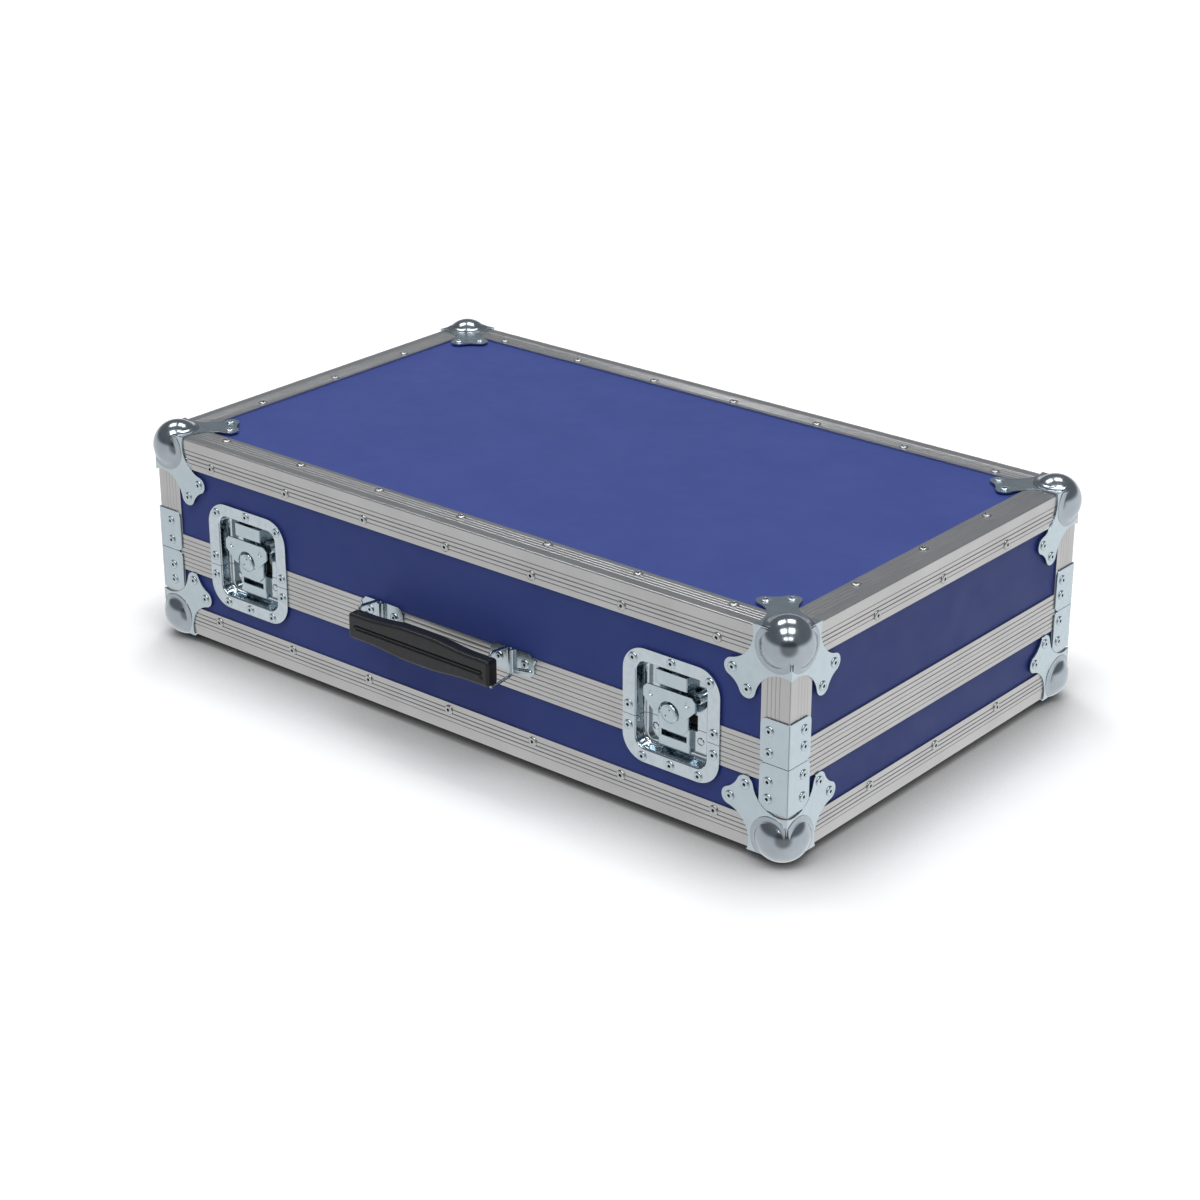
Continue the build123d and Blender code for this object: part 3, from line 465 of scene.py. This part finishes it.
def blue_laminate():
    """Plywood faced with pressure laminate: satin, with the pebble of its press plate drawn coarser."""
    material, tree, shader, place = new_material("blue_pressure_laminate")
    shade = tinted(tree, noise(tree, place, 60.0), "#3A4A8F", "#3E4E93")
    tree.links.new(shade, shader.inputs["Base Color"])
    tree.links.new(spread(tree, noise(tree, place, 25.0), 0.42, 0.5), shader.inputs["Roughness"])
    bumped(tree, shader, noise(tree, place, 1.6, detail=1.0), 0.02)
    shader.inputs["Specular IOR Level"].default_value = 0.2
    return material


def anodised_aluminium(axis):
    """Satin extrusion: draw lines along its length, coarser than real ones, spread its highlights."""
    material, tree, shader, place = new_material(f"satin_anodised_aluminium_{'xyz'[axis]}")
    stretch = [60.0 if k == axis else 1.0 for k in range(3)]
    lines = noise(tree, place, 0.9, detail=3.0, stretch=stretch)
    shade = tinted(tree, noise(tree, place, 40.0), "#B7B7B7", "#BEBEBE")
    tree.links.new(shade, shader.inputs["Base Color"])
    tree.links.new(spread(tree, lines, 0.3, 0.35), shader.inputs["Roughness"])
    bumped(tree, shader, lines, 0.0015)
    shader.inputs["Metallic"].default_value = 1.0
    return material


def zinc_plate():
    """Bright zinc-plated pressed steel: cool pale metal, a little cloudy where the bath left it."""
    material, tree, shader, place = new_material("bright_zinc_plated_steel")
    cloud = noise(tree, place, 9.0, detail=3.0)
    tree.links.new(tinted(tree, cloud, "#B8C5CC", "#BECBD2"), shader.inputs["Base Color"])
    tree.links.new(spread(tree, cloud, 0.23, 0.27), shader.inputs["Roughness"])
    bumped(tree, shader, noise(tree, place, 2.5), 0.001)
    shader.inputs["Metallic"].default_value = 1.0
    return material


def dish_zinc():
    """The drawn latch dish: the same plating, burnished by the die, so that it mirrors."""
    material, tree, shader, place = new_material("burnished_zinc_latch_dish")
    cloud = noise(tree, place, 7.0, detail=2.0)
    tree.links.new(tinted(tree, cloud, "#BCC7CE", "#C6D0D6"), shader.inputs["Base Color"])
    tree.links.new(spread(tree, cloud, 0.1, 0.15), shader.inputs["Roughness"])
    bumped(tree, shader, noise(tree, place, 5.0), 0.012)
    shader.inputs["Metallic"].default_value = 1.0
    return material


def polished_zinc():
    """The pressed ball, burnished by the die: close to a mirror, a little uneven in tone."""
    material, tree, shader, place = new_material("burnished_zinc_ball")
    cloud = noise(tree, place, 12.0)
    tree.links.new(tinted(tree, cloud, "#A0A9B0", "#A8B1B8"), shader.inputs["Base Color"])
    tree.links.new(spread(tree, cloud, 0.16, 0.2), shader.inputs["Roughness"])
    shader.inputs["Metallic"].default_value = 1.0
    return material


def rivet_aluminium():
    """Turned aluminium of the pop rivets."""
    material, tree, shader, place = new_material("plain_aluminium_rivets")
    shade = tinted(tree, noise(tree, place, 3.0), "#B0B2B2", "#BBBDBD")
    tree.links.new(shade, shader.inputs["Base Color"])
    tree.links.new(spread(tree, noise(tree, place, 2.0), 0.22, 0.3), shader.inputs["Roughness"])
    shader.inputs["Metallic"].default_value = 1.0
    return material


def painted_shade_bore():
    """Painted shade down inside a rivet's bore: near-black, darker than the sheared steel mandrel that sits
    there, so that the hole reads as shadowed.
    """
    material, tree, shader, place = new_material("painted_shade_rivet_bore")
    tree.links.new(tinted(tree, noise(tree, place, 1.0), "#101218", "#1C1F26"), shader.inputs["Base Color"])
    shader.inputs["Roughness"].default_value = 0.6
    return material


def black_moulding():
    """Moulded black PVC grip: low sheen, with its spark-eroded grain drawn coarser."""
    material, tree, shader, place = new_material("moulded_black_pvc")
    tree.links.new(tinted(tree, noise(tree, place, 14.0), "#101116", "#15161B"), shader.inputs["Base Color"])
    tree.links.new(spread(tree, noise(tree, place, 5.0), 0.4, 0.5), shader.inputs["Roughness"])
    bumped(tree, shader, noise(tree, place, 0.8, detail=1.0), 0.03)
    return material


def charcoal_foam():
    """Cut polyethylene foam: matt, with fine closed cells."""
    material, tree, shader, place = new_material("charcoal_polyethylene_foam")
    cells = add(tree, "ShaderNodeTexVoronoi", {"Scale": 1.0 / (1.8 * MM)}, {"Vector": place})
    shade = tinted(tree, noise(tree, place, 5.0), "#2A2A2C", "#3A3A3C")
    tree.links.new(shade, shader.inputs["Base Color"])
    shader.inputs["Roughness"].default_value = 0.95
    bumped(tree, shader, cells.outputs["Distance"], 0.25)
    return material


LAMINATE = blue_laminate()
ALUMINIUM = [anodised_aluminium(axis) for axis in range(3)]
ZINC = zinc_plate()
DISH = dish_zinc()
BALL = polished_zinc()
RIVET = rivet_aluminium()
# Near-black painted shade for the inside of the rivet bores
BORE_SHADE = painted_shade_bore()
MOULDING = black_moulding()
FOAM = charcoal_foam()


# Rivets


def rivet_seats(node):
    """(foot centre, outward axis) of each rivet head of a frame node, its points grouped by nearness."""
    groups = []
    for vertex in NODES[node].data.vertices:
        for group in groups:
            if (group[0] - vertex.co).length < RIVET_GROUP_REACH * MM:
                group.append(vertex.co.copy())
                break
        else:
            groups.append([vertex.co.copy()])
    seats = []
    for group in groups:
        low = Vector([min(p[k] for p in group) for k in range(3)])
        high = Vector([max(p[k] for p in group) for k in range(3)])
        middle, size = (low + high) / 2, high - low
        axis = min(range(3), key=lambda k: size[k])
        reach = {}
        for point in group:
            side, arm = point[axis] > middle[axis], point - middle
            arm[axis] = 0.0
            reach[side] = max(reach.get(side, 0.0), arm.length)
        outward = Vector((0.0, 0.0, 0.0))
        outward[axis] = 1.0 if reach[True] < reach[False] else -1.0
        middle[axis] = low[axis] if outward[axis] > 0 else high[axis]
        seats.append((middle, outward))
    return seats


def rivet_head():
    """A domed pop-rivet head round the bore of its mandrel."""
    dome = ((RIVET_RADIUS, 0.0), (RIVET_RADIUS, 0.45), (4.1, 1.15), (2.9, 1.5), (1.75, 1.45))
    bore = ((1.45, 1.2), (1.3, 0.3))
    head = turned("rivet_head", dome + bore, segments=16)
    head.data.materials.append(ZINC)
    head.data.materials.append(BORE_SHADE)
    # Faces down inside the bore take the second slot, the near-black painted shade of the hole
    for face in head.data.polygons:
        above_foot = face.center.z > 0.1 * MM
        inside = math.hypot(face.center.x, face.center.y) < BORE_RADIUS * MM and above_foot
        face.material_index = 1 if inside else 0
    return head


def on_extrusion(foot):
    """Whether a rivet sits straight on an extrusion and not on a plated fitting."""
    gaps = [min(abs(foot[k] - CASE_LOW[k]), abs(foot[k] - CASE_HIGH[k])) for k in range(3)]
    return min(gaps) < SHEET / 3 * MM


def rivets(half):
    """All rivet heads of the base or the lid, plain ones on the extrusions and plated ones on fittings."""
    node = f"{half}_rivets"
    head = rivet_head()
    groups = {f"{half}_edge_rivet_heads": [], f"{half}_fitting_rivet_heads": []}
    for foot, outward in rivet_seats(node):
        turn = outward.to_track_quat("Z", "Y").to_matrix().to_4x4()
        kind = "edge" if on_extrusion(foot) else "fitting"
        groups[f"{half}_{kind}_rivet_heads"].append(placed_copy(head, Matrix.Translation(foot) @ turn))
    remove(head)
    for name, copies in groups.items():
        group = join(copies, name)
        group.data.materials[0] = RIVET if "edge" in name else ZINC
        finished(group, None, node, smooth=50.0)


# Ball corners


def ball_pressing():
    """A ball centred on the origin with the step pressed round it, its corner towards +X, +Y and +Z."""
    count, tip = 48, 0.2
    turns = [math.pi * i / count for i in range(count + 1)]
    rings = [(max(BALL_RADIUS * math.sin(a), tip), -BALL_RADIUS * math.cos(a)) for a in turns]
    ball = turned("ball_pressing", rings, segments=72)
    deep, corner = -2 * BALL_RADIUS, BALL_INSET - 2
    bored(ball, bar("case_corner", (deep, deep, deep), (corner, corner, corner)))

    face_at = BALL_INSET + SHEET
    swept = ((15.5, 2.1), (16.7, 1.6), (17.8, 1.05), (19.0, 0.65), (20.2, 0.45), (21.4, 0.38), (21.8, 0.25))
    rings = [(radius, face_at + rise) for radius, rise in (*swept, (22.1, -0.1), (15.5, -0.1))]
    step = turned("step", rings + rings[:1], segments=96, hollow=True)
    fold_at, corner_at = BALL_INSET * MM, (face_at - CORNER_CROP / 3) * MM
    for at, normal in ((fold_at, (1, 0, 0)), (fold_at, (0, 1, 0)), (corner_at, (1, 1, 1))):
        edit(step, "FACE", everything=True)
        bpy.ops.mesh.bisect(plane_co=(at, at, at), plane_no=normal, clear_outer=True, use_fill=True)
        close()
    to_x = Matrix(((0, 0, 1), (1, 0, 0), (0, 1, 0))).to_4x4()
    steps = [placed_copy(step, turn) for turn in (Matrix.Identity(4), to_x, to_x @ to_x)]
    remove(step)
    return join([ball, *steps], "ball_pressing")


def ball_centres(half):
    """(centre, outward signs) of the four balls of the base or the lid."""
    inset_by = BALL_INSET * MM
    z, out = (CASE_HIGH.z, 1) if half == "lid" else (CASE_LOW.z, -1)
    for sx, x in ((-1, CASE_LOW.x), (1, CASE_HIGH.x)):
        for sy, y in ((-1, CASE_LOW.y), (1, CASE_HIGH.y)):
            yield Vector((x - sx * inset_by, y - sy * inset_by, z - out * inset_by)), (sx, sy, out)


def ball_corners(half):
    """Four ball corners: flanges folded over the case's edges, and the burnished balls."""
    node = f"{half}_ball_corners"
    flanges = node_copy(node, f"{half}_corner_flanges")
    shrunk, tip_cut = 0.98, 0.965
    for centre, signs in ball_centres(half):
        low_r, high_r = (BALL_RADIUS - 0.3) * MM, (BALL_RADIUS + 0.1) * MM
        pick(flanges, "VERT", lambda v: low_r < (v.co - centre).length < high_r)
        bpy.ops.transform.resize(value=(shrunk, shrunk, shrunk), center_override=centre)
        close()
        out = Vector(signs).normalized()
        edit(flanges, "FACE", everything=True)
        inside_ball = centre + out * tip_cut * BALL_RADIUS * MM
        bpy.ops.mesh.bisect(plane_co=inside_ball, plane_no=out, clear_outer=True, use_fill=True)
        close()
    low, high = CASE_LOW - Vector((SHEET,) * 3) * MM, CASE_HIGH + Vector((SHEET,) * 3) * MM
    points = flanges.data.vertices

    def outer_axes(point):
        """The axes along which a point lies on the outer face of the sheet."""
        return {k for k in range(3) if min(abs(point[k] - low[k]), abs(point[k] - high[k])) < NEAR}

    def on_fold(edge):
        """Whether an edge runs along a fold, on the outer faces of two sides."""
        first, second = (outer_axes(points[i].co) for i in edge.vertices)
        return len(first & second) == 2

    pick(flanges, "EDGE", on_fold)
    bpy.ops.mesh.bevel(offset=FOLD_ROLL * MM, segments=3, affect="EDGES")
    close()
    finished(softened(flanges, FITTING_ROLL, angle=50.0), ZINC, node)
    pressing = ball_pressing()
    balls = [
        placed_copy(pressing, Matrix.Translation(centre) @ Matrix.Diagonal((*signs, 1)))
        for centre, signs in ball_centres(half)
    ]
    remove(pressing)
    finished(join(balls, f"{half}_corner_balls"), BALL, node)


# Latches


def latch_place(side):
    """From a flat drawing to a latch: x across, y up, z out of the front from the plate's face."""
    sign = {"left": -1, "right": 1}[side]
    place = Vector((sign * LATCH_SPREAD * MM, CASE_LOW.y - SHEET * MM, SPLIT + LATCH_RISE * MM))
    return Matrix.Translation(place) @ Matrix.Rotation(math.radians(90), 4, "X")


def latch_pressing(half):
    """The riveted plate with its drawn dish, cut at the split for the lid's or the base's part."""
    rim, taper, floor, narrower = 2.2, 0.6, 4.5, 0.2
    plate = rounded_plate(f"{half}_latch_pressing", PLATE_WIDTH, PLATE_HEIGHT, PLATE_CORNER)
    outline = len(plate.data.vertices)
    edit(plate, "FACE", everything=True)
    land = (PLATE_WIDTH - DISH_WIDTH) / 2 - rim + narrower
    inset(land)
    rolled(rim, deeper=False)
    inset(taper, rim + floor - DISH_DEPTH)
    rolled(floor, deeper=True)
    close()
    drawn = PLATE_HEIGHT - 2 * (land + rim)
    pick(plate, "VERT", lambda vertex: vertex.index >= outline)
    bpy.ops.transform.resize(value=(1.0, (DISH_UP + DISH_DOWN) / drawn, 1.0), center_override=(0, 0, 0))
    bpy.ops.transform.translate(value=(0, (DISH_UP - DISH_DOWN) / 2 * MM, 0))
    close()
    edit(plate, "FACE", everything=True)
    if half == "lid":
        cut = (0, (LID_GAP - LATCH_RISE) * MM, 0)
        bpy.ops.mesh.bisect(plane_co=cut, plane_no=(0, 1, 0), clear_inner=True)
    else:
        bpy.ops.mesh.bisect(plane_co=(0, -LATCH_RISE * MM, 0), plane_no=(0, 1, 0), clear_outer=True)
    close()
    wall = plate.modifiers.new("sheet", "SOLIDIFY")
    wall.thickness = SHEET * MM
    wall.offset = -1.0
    wall.use_even_offset = True
    apply_modifiers(plate)
    below, above = -DISH_DEPTH - 2 * SHEET, 1 - DISH_DEPTH
    bored(plate, bar("window", (*WINDOW_LOW, below), (*WINDOW_HIGH, above)))
    return softened(plate, FITTING_ROLL, angle=55.0)


def floor_button():
    """A domed spot pressed up from the dish floor."""
    rings = ((3.7, -0.3), (3.7, 0.2), (3.2, 0.7), (2.3, 1.0), (1.1, 1.18), (0.3, 1.2))
    return turned("floor_button", rings, segments=24)


def padlock_eye():
    """The rolled eye beside the latch for a padlock."""
    outside = [(5.0, -0.3), (5.0, 6.2), (4.75, 7.0), (4.1, 7.5)]
    inside = [(3.2, 7.5), (2.6, 7.1), (2.4, 6.4), (2.4, -0.3)]
    return turned("padlock_eye", outside + inside + outside[:1], segments=32, hollow=True)


def hub_boss():
    """The round hub with its chamfered face, two spanner holes, pivot bore, and shaft headed over."""
    rings = [(5.6, -16.1), (SHAFT_HEAD_RADIUS, -15.8), (SHAFT_HEAD_RADIUS, -14.8), (5.8, -14.6)]
    rings += [(SHAFT_RADIUS, -14.6), (SHAFT_RADIUS, HUB_BACK), (9.1, HUB_BACK)]
    rings += [(HUB_RADIUS, -5.6), (HUB_RADIUS, -0.75), (9.1, -0.5), (8.45, 0.2)]
    rings += [(8.2, HUB_PROUD), (7.5, HUB_PROUD), (7.25, 0.12), (7.0, 0.08), (6.75, 0.12)]
    rings += [(6.5, HUB_PROUD), (0.5, HUB_PROUD)]
    boss = turned("hub_boss", rings, segments=48)
    through, above = 12, 3
    pivot_ends = ((-through, 0, PIVOT_AT), (through, 0, PIVOT_AT))
    pivot = capsule("pivot", PIVOT_RADIUS, *pivot_ends, segments=12)
    holes = [
        capsule("hole", SPANNER_HOLE_RADIUS, (x, y, SPANNER_HOLE_FLOOR), (x, y, above), segments=12)
        for x, y in SPANNER_HOLE_PLACES
    ]
    return bored(boss, pivot, *holes)


def folded(obj, width, *faces):
    """Round a bend: the edges where two faces of a piece's box meet, each given as (axis, side)."""
    points = obj.data.vertices
    ends = [[pick_end(p.co[k] for p in points) for pick_end in (min, max)] for k in range(3)]

    def at_bend(edge):
        """Whether an edge lies where the given faces meet."""
        return all(
            abs(points[i].co[axis] - ends[axis][side > 0]) < NEAR
            for i in edge.vertices
            for axis, side in faces
        )

    pick(obj, "EDGE", at_bend)
    bpy.ops.mesh.bevel(offset=width * MM, segments=4, affect="EDGES")
    close()
    return obj


def across_up(at):
    """A move in a latch's flat drawing, across and up in millimetres."""
    return Matrix.Translation((at[0] * MM, at[1] * MM, 0))


def latch(side):
    """One recessed turn latch."""
    place = latch_place(side)
    name = f"latch_{side}"
    middle = across_up((MECHANISM_OFFSET, HUB_RISE))
    floor = Matrix.Translation((0, 0, -DISH_DEPTH * MM))

    lid_part = latch_pressing("lid")
    eye = moved(padlock_eye(), across_up(EYE_PLACE) @ floor)
    lid_part = moved(join([lid_part, eye], f"{name}_lid_pressing"), place)
    finished(lid_part, DISH, f"{name}_lid_plate")

    base_part = latch_pressing("base")
    button = floor_button()
    spots = [placed_copy(button, across_up(spot) @ floor) for spot in BUTTON_PLACES]
    remove(button)
    base_part = moved(join([base_part, *spots], f"{name}_base_pressing"), place)
    finished(base_part, DISH, f"{name}_base_plate")

    for part, bend in LATCH_BENDS.items():
        piece = node_copy(f"{name}_{part}", f"{name}_{part}_pressing")
        for sign in (-1, 1):
            folded(piece, bend, (1, -1), (0, sign))
        finished(softened(piece, FITTING_ROLL, angle=45.0), ZINC, f"{name}_{part}")

    wing = node_copy(f"{name}_wing", f"{name}_wing_pressing")
    rings = ((1.7, -1.75), (2.1, -1.55), (2.6, -0.75), (2.7, 1.0))
    dimples = [
        moved(turned("dimple", rings, segments=24), place @ middle @ across_up(at))
        for at in DIMPLE_PLACES
    ]
    finished(softened(bored(wing, *dimples), WING_ROLL, angle=45.0), ZINC, f"{name}_wing")

    boss = join([moved(hub_boss(), place @ middle)], f"{name}_hub_boss")
    finished(boss, ZINC, f"{name}_hub")


# Handle


def grip_half_height(x):
    """Half height of the grip at a distance from its middle."""
    part = min(max((abs(x) - GRIP_FLAT_HALF) / (GRIP_NECK_HALF - GRIP_FLAT_HALF), 0.0), 1.0)
    return GRIP_END_HALF + (GRIP_MIDDLE_HALF - GRIP_END_HALF) * (1 + math.cos(math.pi * part)) / 2


def grip():
    """Moulded grip: low ends that swell to a taller middle, rolled edges, and a beaded groove in front."""
    front = CASE_LOW.y / MM - GRIP_FRONT
    z = SPLIT / MM + HANDLE_RISE
    low = (-GRIP_HALF, front, z - GRIP_END_HALF)
    piece = bar("grip_moulding", low, (GRIP_HALF, front + GRIP_THICK, z + GRIP_END_HALF))
    steps = GRIP_SWELL_STEPS
    reach = GRIP_NECK_HALF - GRIP_FLAT_HALF
    cuts = [side * (GRIP_FLAT_HALF + reach * i / steps) for side in (-1, 1) for i in range(steps + 1)]
    for x in cuts:
        edit(piece, "FACE", everything=True)
        bpy.ops.mesh.bisect(plane_co=(x * MM, 0, 0), plane_no=(1, 0, 0))
        close()
    for x in cuts:
        pick(piece, "VERT", lambda vertex: abs(vertex.co.x - x * MM) < NEAR)
        scale = grip_half_height(x) / GRIP_END_HALF
        bpy.ops.transform.resize(value=(1, 1, scale), center_override=(x * MM, 0, z * MM))
        close()
    softened(piece, GRIP_ROLL, segments=6)
    end = GRIP_HALF - GROOVE_FROM_END
    before, hook_before, behind = front - 1.0, front - 0.8, front + 1.6
    groove = capsule("groove", GROOVE_RADIUS, (-end + 2, before, z), (end - 2, before, z), segments=20)
    hook_ends = ((end - 2.5, hook_before, z - 0.5), (end - 0.5, hook_before, z - 4.5))
    hook = capsule("hook", HOOK_RADIUS, *hook_ends, segments=20)
    across = (BRACKET_SPREAD, -BRACKET_SPREAD)
    rod_y = CASE_LOW.y / MM - LOOP_FRONT
    through, play = 20, 0.1
    bores = [
        capsule("bore", LOOP_WIRE + play, (x, rod_y, z - through), (x, rod_y, z + through))
        for x in across
    ]
    bored(piece, groove, hook, *bores)
    bead = capsule("bead", BEAD_RADIUS, (-end + 2, behind, z), (end - 2.5, behind, z))
    finished(join([piece, bead], "grip_moulding"), MOULDING, "handle_grip", smooth=40.0)


def brackets():
    """Two handle brackets, with a ridge pressed under the outer rivet and a tab at the outer end."""
    piece = node_copy("handle_brackets", "bracket_pressings")
    softened(piece, BRACKET_ROLL, angle=45.0)
    y = CASE_LOW.y / MM - SHEET
    z = SPLIT / MM + HANDLE_RISE
    details = []
    for side in (-1, 1):
        x = side * BRACKET_SPREAD
        for name, radius, ends in (("ridge", RIDGE_RADIUS, RIDGE_ENDS), ("tab", TAB_RADIUS, TAB_ENDS)):
            start, end = ((x + side * out, y + back, z + up) for out, back, up in ends)
            details.append(capsule(name, radius, start, end))
    finished(join([piece, *details], "bracket_pressings"), ZINC, "handle_brackets", smooth=40.0)


# Pieces that keep the frame's shape


def painted(node, material):
    """Give a frame node its finish."""
    obj = NODES[node]
    obj.data.materials.clear()
    obj.data.materials.append(material)


def panels():
    """Laminated panels."""
    for node in NODES:
        if node.endswith("_panel"):
            painted(node, LAMINATE)


def extrusions():
    """Extrusions, edges rolled, with the draw lines along their length."""
    for node in NODES:
        if node.endswith(("_edge", "_rim", "_uprights")):
            low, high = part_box(node)
            size = high - low
            axis = 2 if node.endswith("_uprights") else max(range(3), key=lambda k: size[k])
            piece = softened(node_copy(node, f"{node}_extrusion"), EXTRUSION_ROLL, angle=60.0)
            finished(piece, ALUMINIUM[axis], node)


def small_fittings():
    """Corner braces, hinges and handle loops."""
    for node in NODES:
        if node.endswith(("_braces", "_leaves", "_pins")):
            piece = softened(node_copy(node, f"{node}_plated"), FITTING_ROLL, angle=50.0)
            finished(piece, ZINC, node)
        elif node.endswith("_loop"):
            finished(node_copy(node, f"{node}_wire"), BALL, node, smooth=45.0)


def foam_pads():
    """Foam lining: cut pads with soft edges."""
    for node in NODES:
        if node.endswith("_foam"):
            pad = softened(node_copy(node, f"{node}_pads"), FOAM_ROLL, segments=4)
            finished(pad, FOAM, node, smooth=60.0)


# Studio


def world_light():
    """White ground and walls, a black flag before the camera, and six softboxes in a dim ceiling."""
    world = bpy.data.worlds.new("studio")
    bpy.context.scene.world = world
    world.use_nodes = True
    tree = world.node_tree
    tree.nodes.clear()

    def maths(operation, first, second=0.0, third=0.0):
        """The result of a sum on values or on what other nodes give."""
        node = add(tree, "ShaderNodeMath", {"operation": operation})
        for socket, value in zip(node.inputs, (first, second, third)):
            if isinstance(value, float):
                socket.default_value = value
            else:
                tree.links.new(value, socket)
        return node.outputs["Value"]

    output = add(tree, "ShaderNodeOutputWorld")
    way = add(tree, "ShaderNodeTexCoord").outputs["Generated"]
    height = add(tree, "ShaderNodeSeparateXYZ", {}, {"Vector": way}).outputs["Z"]
    turn = math.radians(CAMERA_AZIMUTH)
    masks = []
    for axis in ((math.cos(turn), math.sin(turn), 0.0), (-math.sin(turn), math.cos(turn), 0.0)):
        along = add(tree, "ShaderNodeVectorMath", {"operation": "DOT_PRODUCT", 1: axis}, {0: way})
        masks.append(maths("DIVIDE", along.outputs["Value"], height))
    columns = maths("ABSOLUTE", maths("ADD", masks[0], -COLUMN_MIDDLE))
    in_column = maths("COMPARE", columns, COLUMN_PITCH / 2, BOX_HALF)
    from_middle = maths("ADD", masks[1], -ROW_MIDDLE)
    in_rows = maths("COMPARE", from_middle, 0.0, ROW_COUNT / 2 * ROW_PITCH)
    row = maths("WRAP", from_middle, ROW_PITCH / 2, -ROW_PITCH / 2)
    in_row = maths("COMPARE", row, 0.0, BOX_HALF)
    above = maths("GREATER_THAN", height, LOWEST_BOX)
    lit = maths("MULTIPLY", maths("MULTIPLY", in_column, in_row), maths("MULTIPLY", in_rows, above))

    ramp = add(tree, "ShaderNodeValToRGB", {}, {"Fac": height})
    ramp.color_ramp.elements[0].position = WALL_TOP
    ramp.color_ramp.elements[0].color = (WALL, WALL, WALL, 1)
    ramp.color_ramp.elements[1].position = CEILING_FROM
    ramp.color_ramp.elements[1].color = (*(CEILING * part for part in CEILING_TINT), 1)
    away_right = (math.sin(turn), math.cos(turn), 0.0)
    far = add(tree, "ShaderNodeVectorMath", {"operation": "DOT_PRODUCT", 1: away_right}, {0: way})
    brighter = maths("MULTIPLY_ADD", far.outputs["Value"], WALL_LEAN, 1.0)
    to_camera = (math.sin(turn), -math.cos(turn), 0.0)
    near = add(tree, "ShaderNodeVectorMath", {"operation": "DOT_PRODUCT", 1: to_camera}, {0: way})
    limits = {"From Min": FLAG_FROM, "From Max": FLAG_FULL, "To Min": 1.0, "To Max": FLAG}
    flag = add(tree, "ShaderNodeMapRange", limits, {"Value": near.outputs["Value"]}).outputs["Result"]
    brighter = maths("MULTIPLY", brighter, flag)
    room = add(tree, "ShaderNodeBackground", {}, {"Color": ramp.outputs["Color"], "Strength": brighter})
    box = add(tree, "ShaderNodeBackground", {"Color": (1, 1, 1, 1), "Strength": BOX_LIGHT})
    white = add(tree, "ShaderNodeBackground", {"Color": (1, 1, 1, 1), "Strength": 1.0})
    light = add(tree, "ShaderNodeMixShader", {}, {0: lit, 1: room.outputs[0], 2: box.outputs[0]})
    path = add(tree, "ShaderNodeLightPath").outputs["Is Camera Ray"]
    seen = add(tree, "ShaderNodeMixShader", {}, {0: path, 1: light.outputs[0], 2: white.outputs[0]})
    tree.links.new(seen.outputs[0], output.inputs["Surface"])


def floor():
    """White floor that keeps the shadow; metal sees the studio's own white ground in its place."""
    deselect()
    bpy.ops.mesh.primitive_plane_add(size=FLOOR_SIZE)
    plane = named("studio_floor")
    material = bpy.data.materials.new("white_studio_floor")
    material.use_nodes = True
    tree = material.node_tree
    tree.nodes.clear()
    output = add(tree, "ShaderNodeOutputMaterial")
    glow = add(tree, "ShaderNodeEmission", {"Color": (1, 1, 1, 1), "Strength": FLOOR_GLOW})
    dark = add(tree, "ShaderNodeEmission", {"Color": (0, 0, 0, 1), "Strength": 0.0})
    path = add(tree, "ShaderNodeLightPath").outputs
    rays = {0: path["Is Camera Ray"], 1: path["Is Glossy Ray"]}
    seen = add(tree, "ShaderNodeMath", {"operation": "MAXIMUM"}, rays).outputs[0]
    rays = {0: seen, 1: path["Is Transmission Ray"]}
    seen = add(tree, "ShaderNodeMath", {"operation": "MAXIMUM"}, rays).outputs[0]
    colours = {"data_type": "RGBA", 6: linear(FLOOR_BOUNCE), 7: linear(FLOOR_SEEN)}
    shade = add(tree, "ShaderNodeMix", colours, {0: seen})
    diffuse = add(tree, "ShaderNodeBsdfDiffuse", {}, {"Color": shade.outputs[2]})
    lifted = add(tree, "ShaderNodeMixShader", {}, {0: seen, 1: dark.outputs[0], 2: glow.outputs[0]})
    both = add(tree, "ShaderNodeAddShader", {}, {0: diffuse.outputs[0], 1: lifted.outputs[0]})
    reach = {"samples": SHADOW_SAMPLES, "Distance": SHADOW_REACH}
    near = add(tree, "ShaderNodeAmbientOcclusion", reach).outputs["AO"]
    deep = add(tree, "ShaderNodeMath", {"operation": "POWER", 1: SHADOW_DEPTH}, {0: near}).outputs[0]
    ground = add(tree, "ShaderNodeMixShader", {}, {0: deep, 1: dark.outputs[0], 2: both.outputs[0]})
    clear = add(tree, "ShaderNodeBsdfTransparent")
    links = {0: path["Is Glossy Ray"], 1: ground.outputs[0], 2: clear.outputs[0]}
    tree.links.new(add(tree, "ShaderNodeMixShader", {}, links).outputs[0], output.inputs["Surface"])
    plane.data.materials.append(material)


def camera():
    """The photograph's camera."""
    lens = bpy.data.cameras.new("camera")
    lens.lens = CAMERA_LENS
    lens.sensor_width = CAMERA_SENSOR
    lens.clip_start = CAMERA_NEAR
    lens.clip_end = CAMERA_FAR
    obj = bpy.data.objects.new("camera", lens)
    turn, rise = math.radians(CAMERA_AZIMUTH), math.radians(CAMERA_ELEVATION)
    back = Vector((math.sin(turn) * math.cos(rise), -math.cos(turn) * math.cos(rise), math.sin(rise)))
    obj.location = CAMERA_PLACE
    obj.rotation_mode = "QUATERNION"
    obj.rotation_quaternion = (-back).to_track_quat("-Z", "Y")
    bpy.context.scene.collection.objects.link(obj)
    bpy.context.scene.camera = obj
    bpy.context.scene.view_settings.view_transform = "Standard"


panels()
extrusions()
small_fittings()
foam_pads()
ball_corners("base")
ball_corners("lid")
latch("left")
latch("right")
grip()
brackets()
rivets("base")
rivets("lid")
floor()
world_light()
camera()
